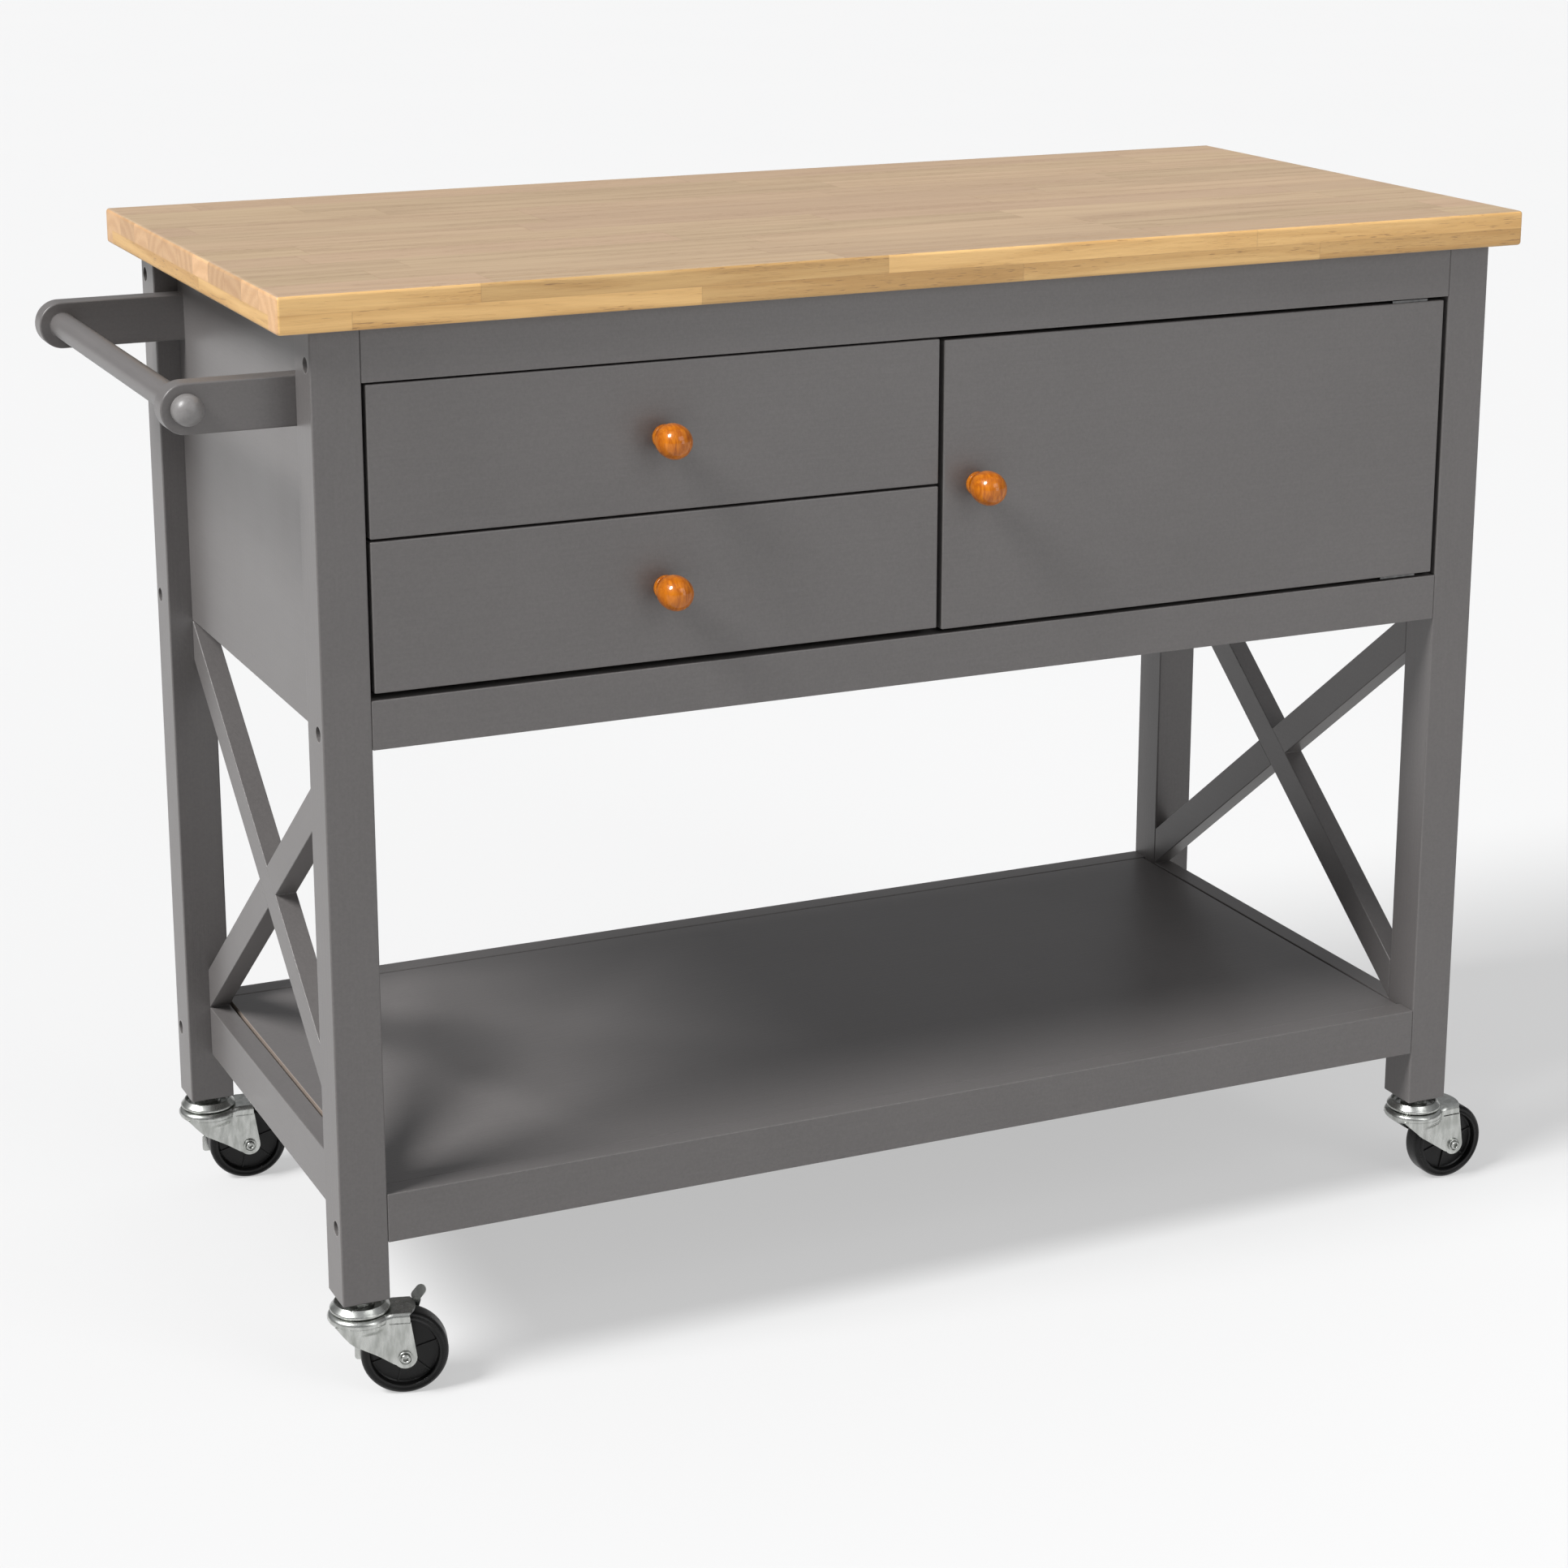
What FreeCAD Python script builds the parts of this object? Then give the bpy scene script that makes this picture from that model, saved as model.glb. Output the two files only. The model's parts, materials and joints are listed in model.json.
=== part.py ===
import FreeCAD, Part
import os
import re

import Sketcher
from FreeCAD import Placement, Rotation, Vector

# A rolling kitchen cart with a butcher block top, two drawers, a door, a low shelf, a towel bar and four
# swivel casters. Millimetres, +Z up, X along the top, the fronts facing -Y. The origin is on the floor, under
# the middle of the whole cart, and the top's own middle is at table_x, table_y.

DIMENSIONS = {
    # Where the top's middle stands from the origin: the towel bar and the knobs reach past the top.
    "table_x": 27, "table_y": 14,
    # The butcher block top: a board with full-height strips along its long edges and strips under its ends.
    "top_length": 1120, "top_depth": 528, "top_low": 884, "top_thick": 30,
    "top_board_thick": 17, "top_strip_depth": 22, "top_strip_width": 67, "top_round": 3,
    # The leg frame.
    "frame_length": 1066, "frame_depth": 508, "leg_side": 40, "leg_low": 87, "leg_round": 1.5,
    "rail_thick": 21, "rail_round": 0.8,
    "upper_rail_low": 842, "upper_rail_tall": 42,
    "lower_rail_low": 552, "lower_rail_tall": 40,
    "shelf_rail_low": 137, "shelf_rail_tall": 42,
    # The end frames, set back from the legs' outer faces and level with their inner faces.
    "side_recess": 21, "side_thick": 19, "side_panel_low": 548,
    "side_rail_low": 132, "side_rail_tall": 46, "brace_foot": 37,
    # The shelf, the cabinet and the strips that hold them up.
    "shelf_thick": 18, "shelf_top": 178.5, "shelf_gap": 3, "shelf_slit": 0.6, "cleat_side": 18,
    "floor_thick": 12, "back_thick": 5, "divider_thick": 16,
    # The fronts, level with the rails' faces.
    "front_thick": 18, "front_width": 487, "front_round": 1.2,
    "drawer_front_tall": 120.5, "drawer_front_x": -490, "upper_front_low": 720, "lower_front_low": 597.5,
    "door_x": 1.5, "door_low": 595.5, "door_tall": 243.5,
    # The drawer boxes and their slides.
    "box_width": 459, "box_depth": 400, "box_tall": 90, "box_lift": 12, "box_thick": 12,
    "bottom_lift": 8, "bottom_thick": 5, "bottom_groove": 6,
    "slide_tall": 35, "slide_lift": 27, "slide_deep": 12, "slide_wall": 1.2, "slide_lip": 5,
    "runner_tall": 24, "runner_deep": 10,
    # The knobs.
    "knob_reach": 38, "knob_inset": 31, "knob_radius": 14.2, "knob_neck_radius": 8.8,
    "knob_foot_radius": 11.2, "knob_foot_tall": 7,
    # The door's pivots: a plate and a pin at each end, turning in a bushing in the rail.
    "pivot_inset": 34, "pivot_depth": 8, "pin_radius": 2.5, "pin_reach": 11, "bushing_clearance": 0.06,
    "bushing_radius": 4, "bushing_deep": 10, "plate_length": 36, "plate_depth": 14, "plate_thick": 2,
    "catch_length": 44, "catch_depth": 14, "catch_tall": 12,
    # The towel bar.
    "bracket_tall": 40, "bracket_thick": 20, "bracket_reach": 105, "bracket_low": 805, "bracket_round": 1.5,
    "bar_radius": 11, "bar_hole_clearance": 0.1, "cap_radius": 12.2, "cap_base": 5, "cap_dome": 11,
    # The bolts that draw the rails to the legs, and the cross dowels they screw into.
    "bolt_inset": 12, "bolt_lift": 15, "bolt_hole_radius": 6.3, "bolt_hole_deep": 8, "bolt_radius": 3,
    "bolt_clearance": 0.2, "bolt_head_radius": 5.5, "bolt_head_tall": 4, "bolt_reach": 44,
    "bolt_key_radius": 2.3, "bolt_key_deep": 2.5,
    "dowel_inset": 30, "dowel_radius": 5, "dowel_length": 15,
    # The casters. Each trails towards +X, turned clockwise by its own angle as seen from above.
    "trail": 35, "wheel_radius": 36, "tread_half": 11.25, "hub_half": 12.2, "hub_radius": 9,
    "axle_radius": 4, "axle_clearance": 0.08, "axle_head_radius": 6, "axle_head_tall": 4,
    "spacer_radius": 6.5, "spacer_low": 14.2,
    "cheek_inner": 15.5, "cheek_thick": 2, "cheek_end_radius": 9.6,
    "crown_low": 72.2, "crown_thick": 1.6, "crown_radius": 26, "crown_end": 28,
    "hood_low": 73.2, "hood_start": 25.6, "hood_end": 39, "hood_bulge_radius": 28.5,
    "skirt_low": 65, "skirt_thick": 2, "kingpin_radius": 6, "kingpin_clearance": 0.08,
    "kingpin_head_radius": 9, "kingpin_head_tall": 4.5, "dish_gap": 0.6, "dish_radius": 25,
    "dish_tall": 4.2, "nut_across": 17, "nut_tall": 5, "stem_radius": 5, "stem_reach": 30,
    "turn_front_left": 15, "turn_back_left": 6, "turn_front_right": 0, "turn_back_right": 25,
    # The brake levers: an eye on the axle, a low arm towards -X and a pedal arm up and back.
    "brake_inner": 12.6, "brake_thick": 1.4, "brake_eye_radius": 8, "brake_arm_half": 4,
    "release_x": 33, "release_z": 5.5, "release_radius": 8,
    "pedal_x": 18.2, "pedal_z": 42.8, "pedal_radius": 6.5,
}

doc = FreeCAD.newDocument("kitchen_cart")
sheet = doc.addObject("Spreadsheet::Sheet", "dims")
for row, (alias, number) in enumerate(DIMENSIONS.items(), 1):
    sheet.set(f"A{row}", alias)
    sheet.set(f"B{row}", str(number))
    sheet.setAlias(f"B{row}", alias)
doc.recompute()

nodes = []


# Helpers

def sheet_name(word):
    """A word of a formula, with the sheet's name before it if it is a dimension."""
    return "dims." + word.group() if word.group() in DIMENSIONS else word.group()


def formula(text):
    """A formula in plain dimension names, rewritten so that it reads the sheet."""
    return re.sub(r"[a-z_]+", sheet_name, text)


def bind(thing, **formulas):
    """Bind properties of an object to formulas."""
    for name, text in formulas.items():
        thing.setExpression(name.replace("__", "."), formula(text))


def place(thing, x, y, z):
    """Put an object's own origin at a place measured from the middle of the top and the floor."""
    bind(thing, Placement__Base__x=f"table_x + {x}", Placement__Base__y=f"table_y + {y}")
    bind(thing, Placement__Base__z=z)


def turned(thing, axis, angle):
    """Turn an object about its own origin before it is placed."""
    thing.Placement = Placement(Vector(), Rotation(axis, angle))


def node(thing):
    """Keep an object as a sub-part that is written to its own file."""
    nodes.append(thing)
    return thing


def group(label, pieces):
    """Several separate solids that share one node."""
    compound = doc.addObject("Part::Compound", label)
    compound.Links = pieces
    return node(compound)


def box(label, length, depth, tall, x, y, z):
    """A plain board with its low corner at x, y, z."""
    solid = doc.addObject("Part::Box", label)
    bind(solid, Length=length, Width=depth, Height=tall)
    place(solid, x, y, z)
    return solid


def plane_of(body, role):
    """One of a body's three origin planes."""
    return next(feature for feature in body.Origin.OriginFeatures if feature.Role == role)


def sketch_on(body, role, name, offset="0"):
    """A sketch on an origin plane of its own body, moved along the plane's normal by offset."""
    sketch = body.newObject("Sketcher::SketchObject", name)
    sketch.AttachmentSupport = [(plane_of(body, role), "")]
    sketch.MapMode = "FlatFace"
    bind(sketch, AttachmentOffset__Base__z=offset)
    return sketch


def measure(sketch, kind, where, text):
    """A sketch dimension that follows a formula."""
    number = float(sketch.evalExpression(formula(text)))
    index = sketch.addConstraint(Sketcher.Constraint(kind, *where, number))
    sketch.setExpression(f"Constraints[{index}]", formula(text))


def pin_point(sketch, curve, end, x, y):
    """Hold one point of a sketch at x, y."""
    measure(sketch, "DistanceX", (-1, 1, curve, end), x)
    measure(sketch, "DistanceY", (-1, 1, curve, end), y)


def outline(sketch, corners, last_radius=None):
    """A closed outline through corners given as pairs of formulas. Its last side can be an outward arc."""
    turns = [Rotation(Vector(0, 0, 1), 360.0 * index / len(corners)) for index in range(len(corners))]
    starts = [turn.multVec(Vector(9, 0, 0)) for turn in turns]
    first = sketch.GeometryCount
    for start, end in zip(starts, starts[1:] + starts[:1]):
        sketch.addGeometry(Part.LineSegment(start, end))
    last = first + len(corners) - 1
    if last_radius:
        sketch.delGeometry(last)
        middle = (starts[-1] + starts[0]).normalize().multiply(11)
        sketch.addGeometry(Part.ArcOfCircle(starts[-1], middle, starts[0]))
    for index, (x, y) in enumerate(corners):
        pin_point(sketch, first + index, 1, x, y)
    for index in range(first, last):
        sketch.addConstraint(Sketcher.Constraint("Coincident", index, 2, index + 1, 1))
    sketch.addConstraint(Sketcher.Constraint("Coincident", last, 2, first, 1))
    if last_radius:
        measure(sketch, "Radius", (last,), last_radius)


def rectangle(sketch, x, y, length, tall):
    """A rectangle with its low corner at x, y."""
    right = f"{x} + {length}"
    top = f"{y} + {tall}"
    outline(sketch, [(x, y), (right, y), (right, top), (x, top)])


def circle(sketch, x, y, radius):
    """A circle about x, y."""
    index = sketch.addGeometry(Part.Circle(Vector(1, 1, 0), Vector(0, 0, 1), 3))
    pin_point(sketch, index, 3, x, y)
    measure(sketch, "Radius", (index,), radius)


def extrude(body, kind, sketch, length, backward=False):
    """A pad or a pocket of a sketch. Backward turns it round to run the other way."""
    feature = body.newObject(kind, sketch.Name + "_" + kind.split("::")[1].lower())
    feature.Profile = sketch
    bind(feature, Length=length)
    feature.Reversed = backward
    return feature


def pad(body, sketch, length, backward=False):
    return extrude(body, "PartDesign::Pad", sketch, length, backward)


def pocket(body, sketch, length, backward=False):
    return extrude(body, "PartDesign::Pocket", sketch, length, backward)


def spin(body, sketch, axis):
    """A full turn of a sketch about one of its own axes."""
    feature = body.newObject("PartDesign::Revolution", sketch.Name + "_turned")
    feature.Profile = sketch
    feature.ReferenceAxis = (sketch, [axis])
    feature.Angle = 360.0
    return feature


def round_edges(body, base, radius, keep=None):
    """Round every edge of a feature, or those whose middle keep() accepts."""
    doc.recompute()
    names = [
        f"Edge{index}" for index, edge in enumerate(base.Shape.Edges, 1)
        if keep is None or keep(edge.CenterOfMass)
    ]
    fillet = body.newObject("PartDesign::Fillet", body.Name + "_rounded")
    fillet.Base = (base, names)
    bind(fillet, Radius=radius)
    return fillet


def board(label, length, depth, tall, x, y, z, radius=None, keep=None):
    """A board made as a body, with its edges eased."""
    body = doc.addObject("PartDesign::Body", label)
    face = sketch_on(body, "XY_Plane", label + "_face")
    rectangle(face, "0", "0", length, depth)
    block = pad(body, face, tall)
    if radius:
        round_edges(body, block, radius, keep)
    place(body, x, y, z)
    return body


def near(value, target):
    return abs(value - target) < 0.01


# The butcher block top

def make_top():
    length, depth = DIMENSIONS["top_length"], DIMENSIONS["top_depth"]
    strip, width = DIMENSIONS["top_strip_depth"], DIMENSIONS["top_strip_width"]
    thick, board_thick = DIMENSIONS["top_thick"], DIMENSIONS["top_board_thick"]
    board_low = "top_low + top_thick - top_board_thick"
    node(board(
        "top_board", "top_length", "top_depth - 2 * top_strip_depth", "top_board_thick",
        "0 - top_length / 2", "top_strip_depth - top_depth / 2", board_low, "top_round",
        lambda middle: near(middle.z, board_thick) and (near(middle.x, 0) or near(middle.x, length)),
    ))
    front = board(
        "front_edge_strip", "top_length", "top_strip_depth", "top_thick",
        "0 - top_length / 2", "0 - top_depth / 2", "top_low", "top_round",
        lambda middle: not near(middle.y, strip),
    )
    back = board(
        "back_edge_strip", "top_length", "top_strip_depth", "top_thick",
        "0 - top_length / 2", "top_depth / 2 - top_strip_depth", "top_low", "top_round",
        lambda middle: not near(middle.y, 0),
    )
    ends = []
    for side, x, outer in (
        ("left", "0 - top_length / 2", 0),
        ("right", "top_length / 2 - top_strip_width", width),
    ):
        ends.append(board(
            side + "_end_strip", "top_strip_width", "top_depth - 2 * top_strip_depth",
            "top_thick - top_board_thick", x, "top_strip_depth - top_depth / 2", "top_low", "top_round",
            lambda middle, outer=outer: near(middle.x, outer) and near(middle.z, 0),
        ))
    group("top_edge_strips", [front, back] + ends)


# The legs, each with three sunk bolt holes in its outer face and a hole for its caster's stem

def make_leg(name, x_side, y_side):
    body = doc.addObject("PartDesign::Body", "leg_" + name)
    section = sketch_on(body, "XY_Plane", f"leg_{name}_section")
    rectangle(section, "0", "0", "leg_side", "leg_side")
    shaft = pad(body, section, "top_low - leg_low")
    leg_tall = DIMENSIONS["top_low"] - DIMENSIONS["leg_low"]
    round_edges(body, shaft, "leg_round", lambda middle: not near(middle.z, leg_tall))
    across = "bolt_inset" if y_side < 0 else "leg_side - bolt_inset"
    outer = "0" if x_side < 0 else "leg_side"
    for step, radius, deep in (
        ("sinks", "bolt_hole_radius", "bolt_hole_deep"),
        ("bores", "bolt_radius + bolt_clearance", "leg_side + 1"),
    ):
        holes = sketch_on(body, "YZ_Plane", f"leg_{name}_{step}", outer)
        for rail in ("upper_rail", "lower_rail", "shelf_rail"):
            circle(holes, across, f"{rail}_low + bolt_lift - leg_low", radius)
        pocket(body, holes, deep, backward=x_side < 0)
    stem = sketch_on(body, "XY_Plane", f"leg_{name}_stem")
    circle(stem, "leg_side / 2", "leg_side / 2", "stem_radius + bolt_clearance")
    pocket(body, stem, "stem_reach + 2", backward=True)
    x = "0 - frame_length / 2" if x_side < 0 else "frame_length / 2 - leg_side"
    y = "0 - frame_depth / 2" if y_side < 0 else "frame_depth / 2 - leg_side"
    place(body, x, y, "leg_low")
    return node(body)


# The long rails between the legs, bored for the bolts and the cross dowels

def make_rail(face_name, rail_name, y_side):
    label = f"{face_name}_{rail_name}"
    length = "(frame_length - 2 * leg_side)"
    body = doc.addObject("PartDesign::Body", label)
    section = sketch_on(body, "XY_Plane", label + "_face")
    rectangle(section, "0", "0", length, "rail_thick")
    block = pad(body, section, f"{rail_name}_tall")
    round_edges(body, block, "rail_round")
    across = "bolt_inset" if y_side < 0 else "rail_thick - bolt_inset"
    for end, offset in (("left", "0"), ("right", length)):
        bore = sketch_on(body, "YZ_Plane", f"{label}_{end}_bore", offset)
        circle(bore, across, "bolt_lift", "bolt_radius + bolt_clearance")
        pocket(body, bore, "bolt_reach + 2", backward=end == "left")
    inner = "0 - rail_thick" if y_side < 0 else "0"
    dowels = sketch_on(body, "XZ_Plane", label + "_dowel_bores", inner)
    circle(dowels, "dowel_inset", "bolt_lift", "dowel_radius + bolt_clearance")
    circle(dowels, f"{length} - dowel_inset", "bolt_lift", "dowel_radius + bolt_clearance")
    pocket(body, dowels, "dowel_length + 2", backward=y_side < 0)
    if face_name == "front" and rail_name != "shelf_rail":
        make_pivot_bore(body, label, rail_name)
    y = "0 - frame_depth / 2" if y_side < 0 else "frame_depth / 2 - rail_thick"
    place(body, f"0 - {length} / 2", y, f"{rail_name}_low")
    return node(body)


def make_pivot_bore(body, label, rail_name):
    """The hole for the door's bushing, in the face of the rail that the door turns against."""
    from_below = rail_name == "upper_rail"
    offset = "0" if from_below else f"{rail_name}_tall"
    bore = sketch_on(body, "XY_Plane", label + "_pivot_bore", offset)
    circle(
        bore, "frame_length / 2 - leg_side + door_x + front_width - pivot_inset", "pivot_depth",
        "bushing_radius",
    )
    pocket(body, bore, "bushing_deep + 2", backward=from_below)


# The end frames: a panel, a low rail and two half-lapped braces

def make_brace(label, side, rising):
    """One bar of the cross, with half its thickness cut away where the other bar passes."""
    wide = "(frame_depth - 2 * leg_side)"
    high = "(side_panel_low - side_rail_low - side_rail_tall)"
    up = [("0", "0"), (wide, f"{high} - brace_foot"), (wide, high), ("0", "brace_foot")]
    down = [("0", f"{high} - brace_foot"), (wide, "0"), (wide, "brace_foot"), ("0", high)]
    own, other = (up, down) if rising else (down, up)
    body = doc.addObject("PartDesign::Body", label)
    face = sketch_on(body, "YZ_Plane", label + "_face")
    outline(face, own)
    bar = pad(body, face, "side_thick")
    round_edges(body, bar, "rail_round")
    lap = sketch_on(body, "YZ_Plane", label + "_lap", "side_thick / 2")
    outline(lap, other)
    pocket(body, lap, "side_thick", backward=rising)
    x = "side_recess - frame_length / 2" if side == "left" else "frame_length / 2 - side_recess - side_thick"
    place(body, x, "leg_side - frame_depth / 2", "side_rail_low + side_rail_tall")
    return body


def make_end(side):
    x = "side_recess - frame_length / 2" if side == "left" else "frame_length / 2 - side_recess - side_thick"
    y = "leg_side - frame_depth / 2"
    depth = "frame_depth - 2 * leg_side"
    panel_tall = "top_low - side_panel_low"
    node(board(
        "side_panel_" + side, "side_thick", depth, panel_tall,
        x, y, "side_panel_low", "rail_round",
    ))
    node(board(
        "side_rail_" + side, "side_thick", depth, "side_rail_tall",
        x, y, "side_rail_low", "rail_round",
    ))
    group("x_brace_" + side, [
        make_brace(f"{side}_rising_brace", side, True),
        make_brace(f"{side}_falling_brace", side, False),
    ])


# The shelf and the cabinet's fixed boards

def make_boards():
    half = "(frame_length / 2 - leg_side)"
    inner = "(frame_depth / 2 - rail_thick)"
    node(board(
        "shelf_board", f"2 * {half} - 2 * shelf_gap", f"2 * {inner} - 2 * shelf_slit", "shelf_thick",
        f"shelf_gap - {half}", f"shelf_slit - {inner}", "shelf_top - shelf_thick", "rail_round",
    ))
    floor_top = "(lower_rail_low + lower_rail_tall)"
    floor_low = f"{floor_top} - floor_thick"
    above_floor = f"top_low - {floor_top}"
    node(box(
        "cabinet_floor", f"2 * {half}", f"2 * {inner}", "floor_thick",
        f"0 - {half}", f"0 - {inner}", floor_low,
    ))
    node(box(
        "cabinet_back", f"2 * {half}", "back_thick", above_floor,
        f"0 - {half}", f"{inner} - back_thick", floor_top,
    ))
    node(box(
        "cabinet_divider", "divider_thick", f"2 * {inner} - back_thick", above_floor,
        "0 - divider_thick / 2", f"0 - {inner}", floor_top,
    ))
    cleats = []
    for level, underside in (("shelf", "shelf_top - shelf_thick"), ("cabinet", floor_low)):
        for face, y in (("front", f"0 - {inner}"), ("back", f"{inner} - cleat_side")):
            cleats.append(box(
                f"{level}_{face}_cleat", f"2 * {half} - 80", "cleat_side", "cleat_side",
                f"40 - {half}", y, f"{underside} - cleat_side",
            ))
    group("support_cleats", cleats)


# The drawers, each a front, a box, a bottom in grooves, a knob and its halves of the slides

def make_channel(label, deep, tall, lip, x, y, z, opens_right):
    """A rolled steel channel along Y, with its web on one side and short lips turned in."""
    body = doc.addObject("PartDesign::Body", label)
    section = sketch_on(body, "XZ_Plane", label + "_section")
    wall = "slide_wall"
    profile = [
        ("0", "0"), (deep, "0"), (deep, lip), (f"{deep} - {wall}", lip), (f"{deep} - {wall}", wall),
        (wall, wall), (wall, f"{tall} - {wall}"), (f"{deep} - {wall}", f"{tall} - {wall}"),
        (f"{deep} - {wall}", f"{tall} - {lip}"), (deep, f"{tall} - {lip}"), (deep, tall), ("0", tall),
    ]
    if not opens_right:
        profile = [(f"{deep} - ({across})", up) for across, up in profile]
    outline(section, profile)
    pad(body, section, "box_depth - 10", backward=True)
    place(body, x, y, z)
    return body


def make_drawer(level):
    low = level + "_front_low"
    back_face = "front_thick - frame_depth / 2"
    box_x = "(leg_side - frame_length / 2 - divider_thick / 2) / 2 - box_width / 2"
    box_low = f"{low} + box_lift"
    node(board(
        level + "_drawer_front", "front_width", "front_thick", "drawer_front_tall",
        "drawer_front_x", "0 - frame_depth / 2", low, "front_round",
    ))
    walls = []
    for side, x, groove in (("left", box_x, "box_thick"), ("right", f"{box_x} + box_width - box_thick", "0")):
        wall = doc.addObject("PartDesign::Body", f"{level}_{side}_wall")
        face = sketch_on(wall, "XY_Plane", f"{level}_{side}_wall_face")
        rectangle(face, "0", "0", "box_thick", "box_depth")
        pad(wall, face, "box_tall")
        cut = sketch_on(wall, "YZ_Plane", f"{level}_{side}_groove", groove)
        rectangle(cut, "0 - 1", "bottom_lift", "box_depth + 2", "bottom_thick")
        pocket(wall, cut, "bottom_groove", backward=side == "right")
        place(wall, x, back_face, box_low)
        walls.append(wall)
    walls.append(box(
        f"{level}_back_wall", "box_width - 2 * box_thick", "box_thick",
        "box_tall - bottom_lift - bottom_thick", f"{box_x} + box_thick",
        f"{back_face} + box_depth - box_thick", f"{box_low} + bottom_lift + bottom_thick",
    ))
    group(level + "_drawer_box", walls)
    node(box(
        level + "_drawer_bottom",
        "box_width - 2 * box_thick + 2 * bottom_groove", "box_depth", "bottom_thick",
        f"{box_x} + box_thick - bottom_groove", back_face, f"{box_low} + bottom_lift",
    ))
    make_knob(level + "_drawer_knob", "drawer_front_x + front_width / 2", f"{low} + drawer_front_tall / 2")
    runner_low = f"{low} + slide_lift + slide_tall / 2 - runner_tall / 2"
    group(level + "_drawer_runners", [
        make_channel(
            f"{level}_left_runner", "runner_deep", "runner_tall", "slide_lip",
            f"{box_x} - runner_deep", f"{back_face} + 5", runner_low, False,
        ),
        make_channel(
            f"{level}_right_runner", "runner_deep", "runner_tall", "slide_lip",
            f"{box_x} + box_width", f"{back_face} + 5", runner_low, True,
        ),
    ])
    slide_low = f"{low} + slide_lift"
    return [
        make_channel(
            f"{level}_left_slide", "slide_deep", "slide_tall", "slide_lip",
            "leg_side - frame_length / 2", f"{back_face} + 5", slide_low, True,
        ),
        make_channel(
            f"{level}_right_slide", "slide_deep", "slide_tall", "slide_lip",
            f"0 - divider_thick / 2 - slide_deep", f"{back_face} + 5", slide_low, False,
        ),
    ]


def make_knob(label, x, z):
    """A turned knob: a foot against the front, a neck, then a full round head."""
    foot = doc.addObject("Part::Cylinder", label + "_foot")
    bind(foot, Radius="knob_foot_radius", Height="knob_foot_tall")
    neck = doc.addObject("Part::Cylinder", label + "_neck")
    bind(neck, Radius="knob_neck_radius", Height="knob_reach - knob_radius")
    head = doc.addObject("Part::Sphere", label + "_head")
    bind(head, Radius="knob_radius", Placement__Base__z="knob_reach - knob_radius")
    knob = doc.addObject("Part::MultiFuse", label)
    knob.Shapes = [foot, neck, head]
    turned(knob, Vector(1, 0, 0), 90)
    place(knob, x, "0 - frame_depth / 2", z)
    return node(knob)


# The door, its pivots and its catch

def make_door():
    node(board(
        "door_panel", "front_width", "front_thick", "door_tall",
        "door_x", "0 - frame_depth / 2", "door_low", "front_round",
    ))
    make_knob("door_knob", "door_x + knob_inset", "door_low + door_tall / 2")
    pivot_x = "door_x + front_width - pivot_inset"
    pivot_y = "pivot_depth - frame_depth / 2"
    pins = []
    bushings = []
    for end, rail_face, door_face, way in (
        ("upper", "upper_rail_low", "door_low + door_tall", 1),
        ("lower", "lower_rail_low + lower_rail_tall", "door_low", -1),
    ):
        plate = doc.addObject("Part::Box", end + "_pivot_plate")
        bind(plate, Length="plate_length", Width="plate_depth", Height="plate_thick")
        plate_low = door_face if way > 0 else f"{door_face} - plate_thick"
        place(plate, f"{pivot_x} - plate_length / 2", f"{pivot_y} - plate_depth / 2 + 1", plate_low)
        pin = doc.addObject("Part::Cylinder", end + "_pivot_pin")
        bind(pin, Radius="pin_radius", Height="pin_reach")
        pin_low = door_face if way > 0 else f"{door_face} - pin_reach"
        place(pin, pivot_x, pivot_y, pin_low)
        hinge = doc.addObject("Part::Fuse", end + "_pivot")
        hinge.Base = plate
        hinge.Tool = pin
        pins.append(hinge)
        shell = doc.addObject("Part::Cylinder", end + "_bushing_shell")
        bind(shell, Radius="bushing_radius", Height="bushing_deep")
        shell_low = rail_face if way > 0 else f"{rail_face} - bushing_deep"
        place(shell, pivot_x, pivot_y, shell_low)
        bore = doc.addObject("Part::Cylinder", end + "_bushing_bore")
        bind(bore, Radius="pin_radius + bushing_clearance", Height="bushing_deep + 2")
        place(bore, pivot_x, pivot_y, f"{shell_low} - 1")
        bushing = doc.addObject("Part::Cut", end + "_bushing")
        bushing.Base = shell
        bushing.Tool = bore
        bushings.append(bushing)
    group("door_pivot_pins", pins)
    group("pivot_bushings", bushings)
    node(box(
        "magnetic_catch", "catch_depth", "catch_length", "catch_tall",
        "divider_thick / 2", "front_thick - frame_depth / 2 + 1.5",
        "door_low + door_tall - 60",
    ))


# The towel bar at the left end

def make_bracket(label, y):
    body = doc.addObject("PartDesign::Body", label)
    centre = "bracket_tall / 2"
    end = sketch_on(body, "XZ_Plane", label + "_end")
    circle(end, centre, centre, "bracket_tall / 2")
    pad(body, end, "bracket_thick", backward=True)
    arm = sketch_on(body, "XZ_Plane", label + "_arm")
    rectangle(arm, centre, "0", f"bracket_reach + side_recess - {centre}", "bracket_tall")
    whole = pad(body, arm, "bracket_thick", backward=True)
    root = DIMENSIONS["bracket_reach"] + DIMENSIONS["side_recess"]
    round_edges(body, whole, "bracket_round", lambda middle: middle.x < root - 1)
    hole = sketch_on(body, "XZ_Plane", label + "_hole")
    circle(hole, centre, centre, "bar_radius + bar_hole_clearance")
    pocket(body, hole, "bracket_thick + 1")
    place(body, "0 - frame_length / 2 - bracket_reach", y, "bracket_low")
    return node(body)


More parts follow.
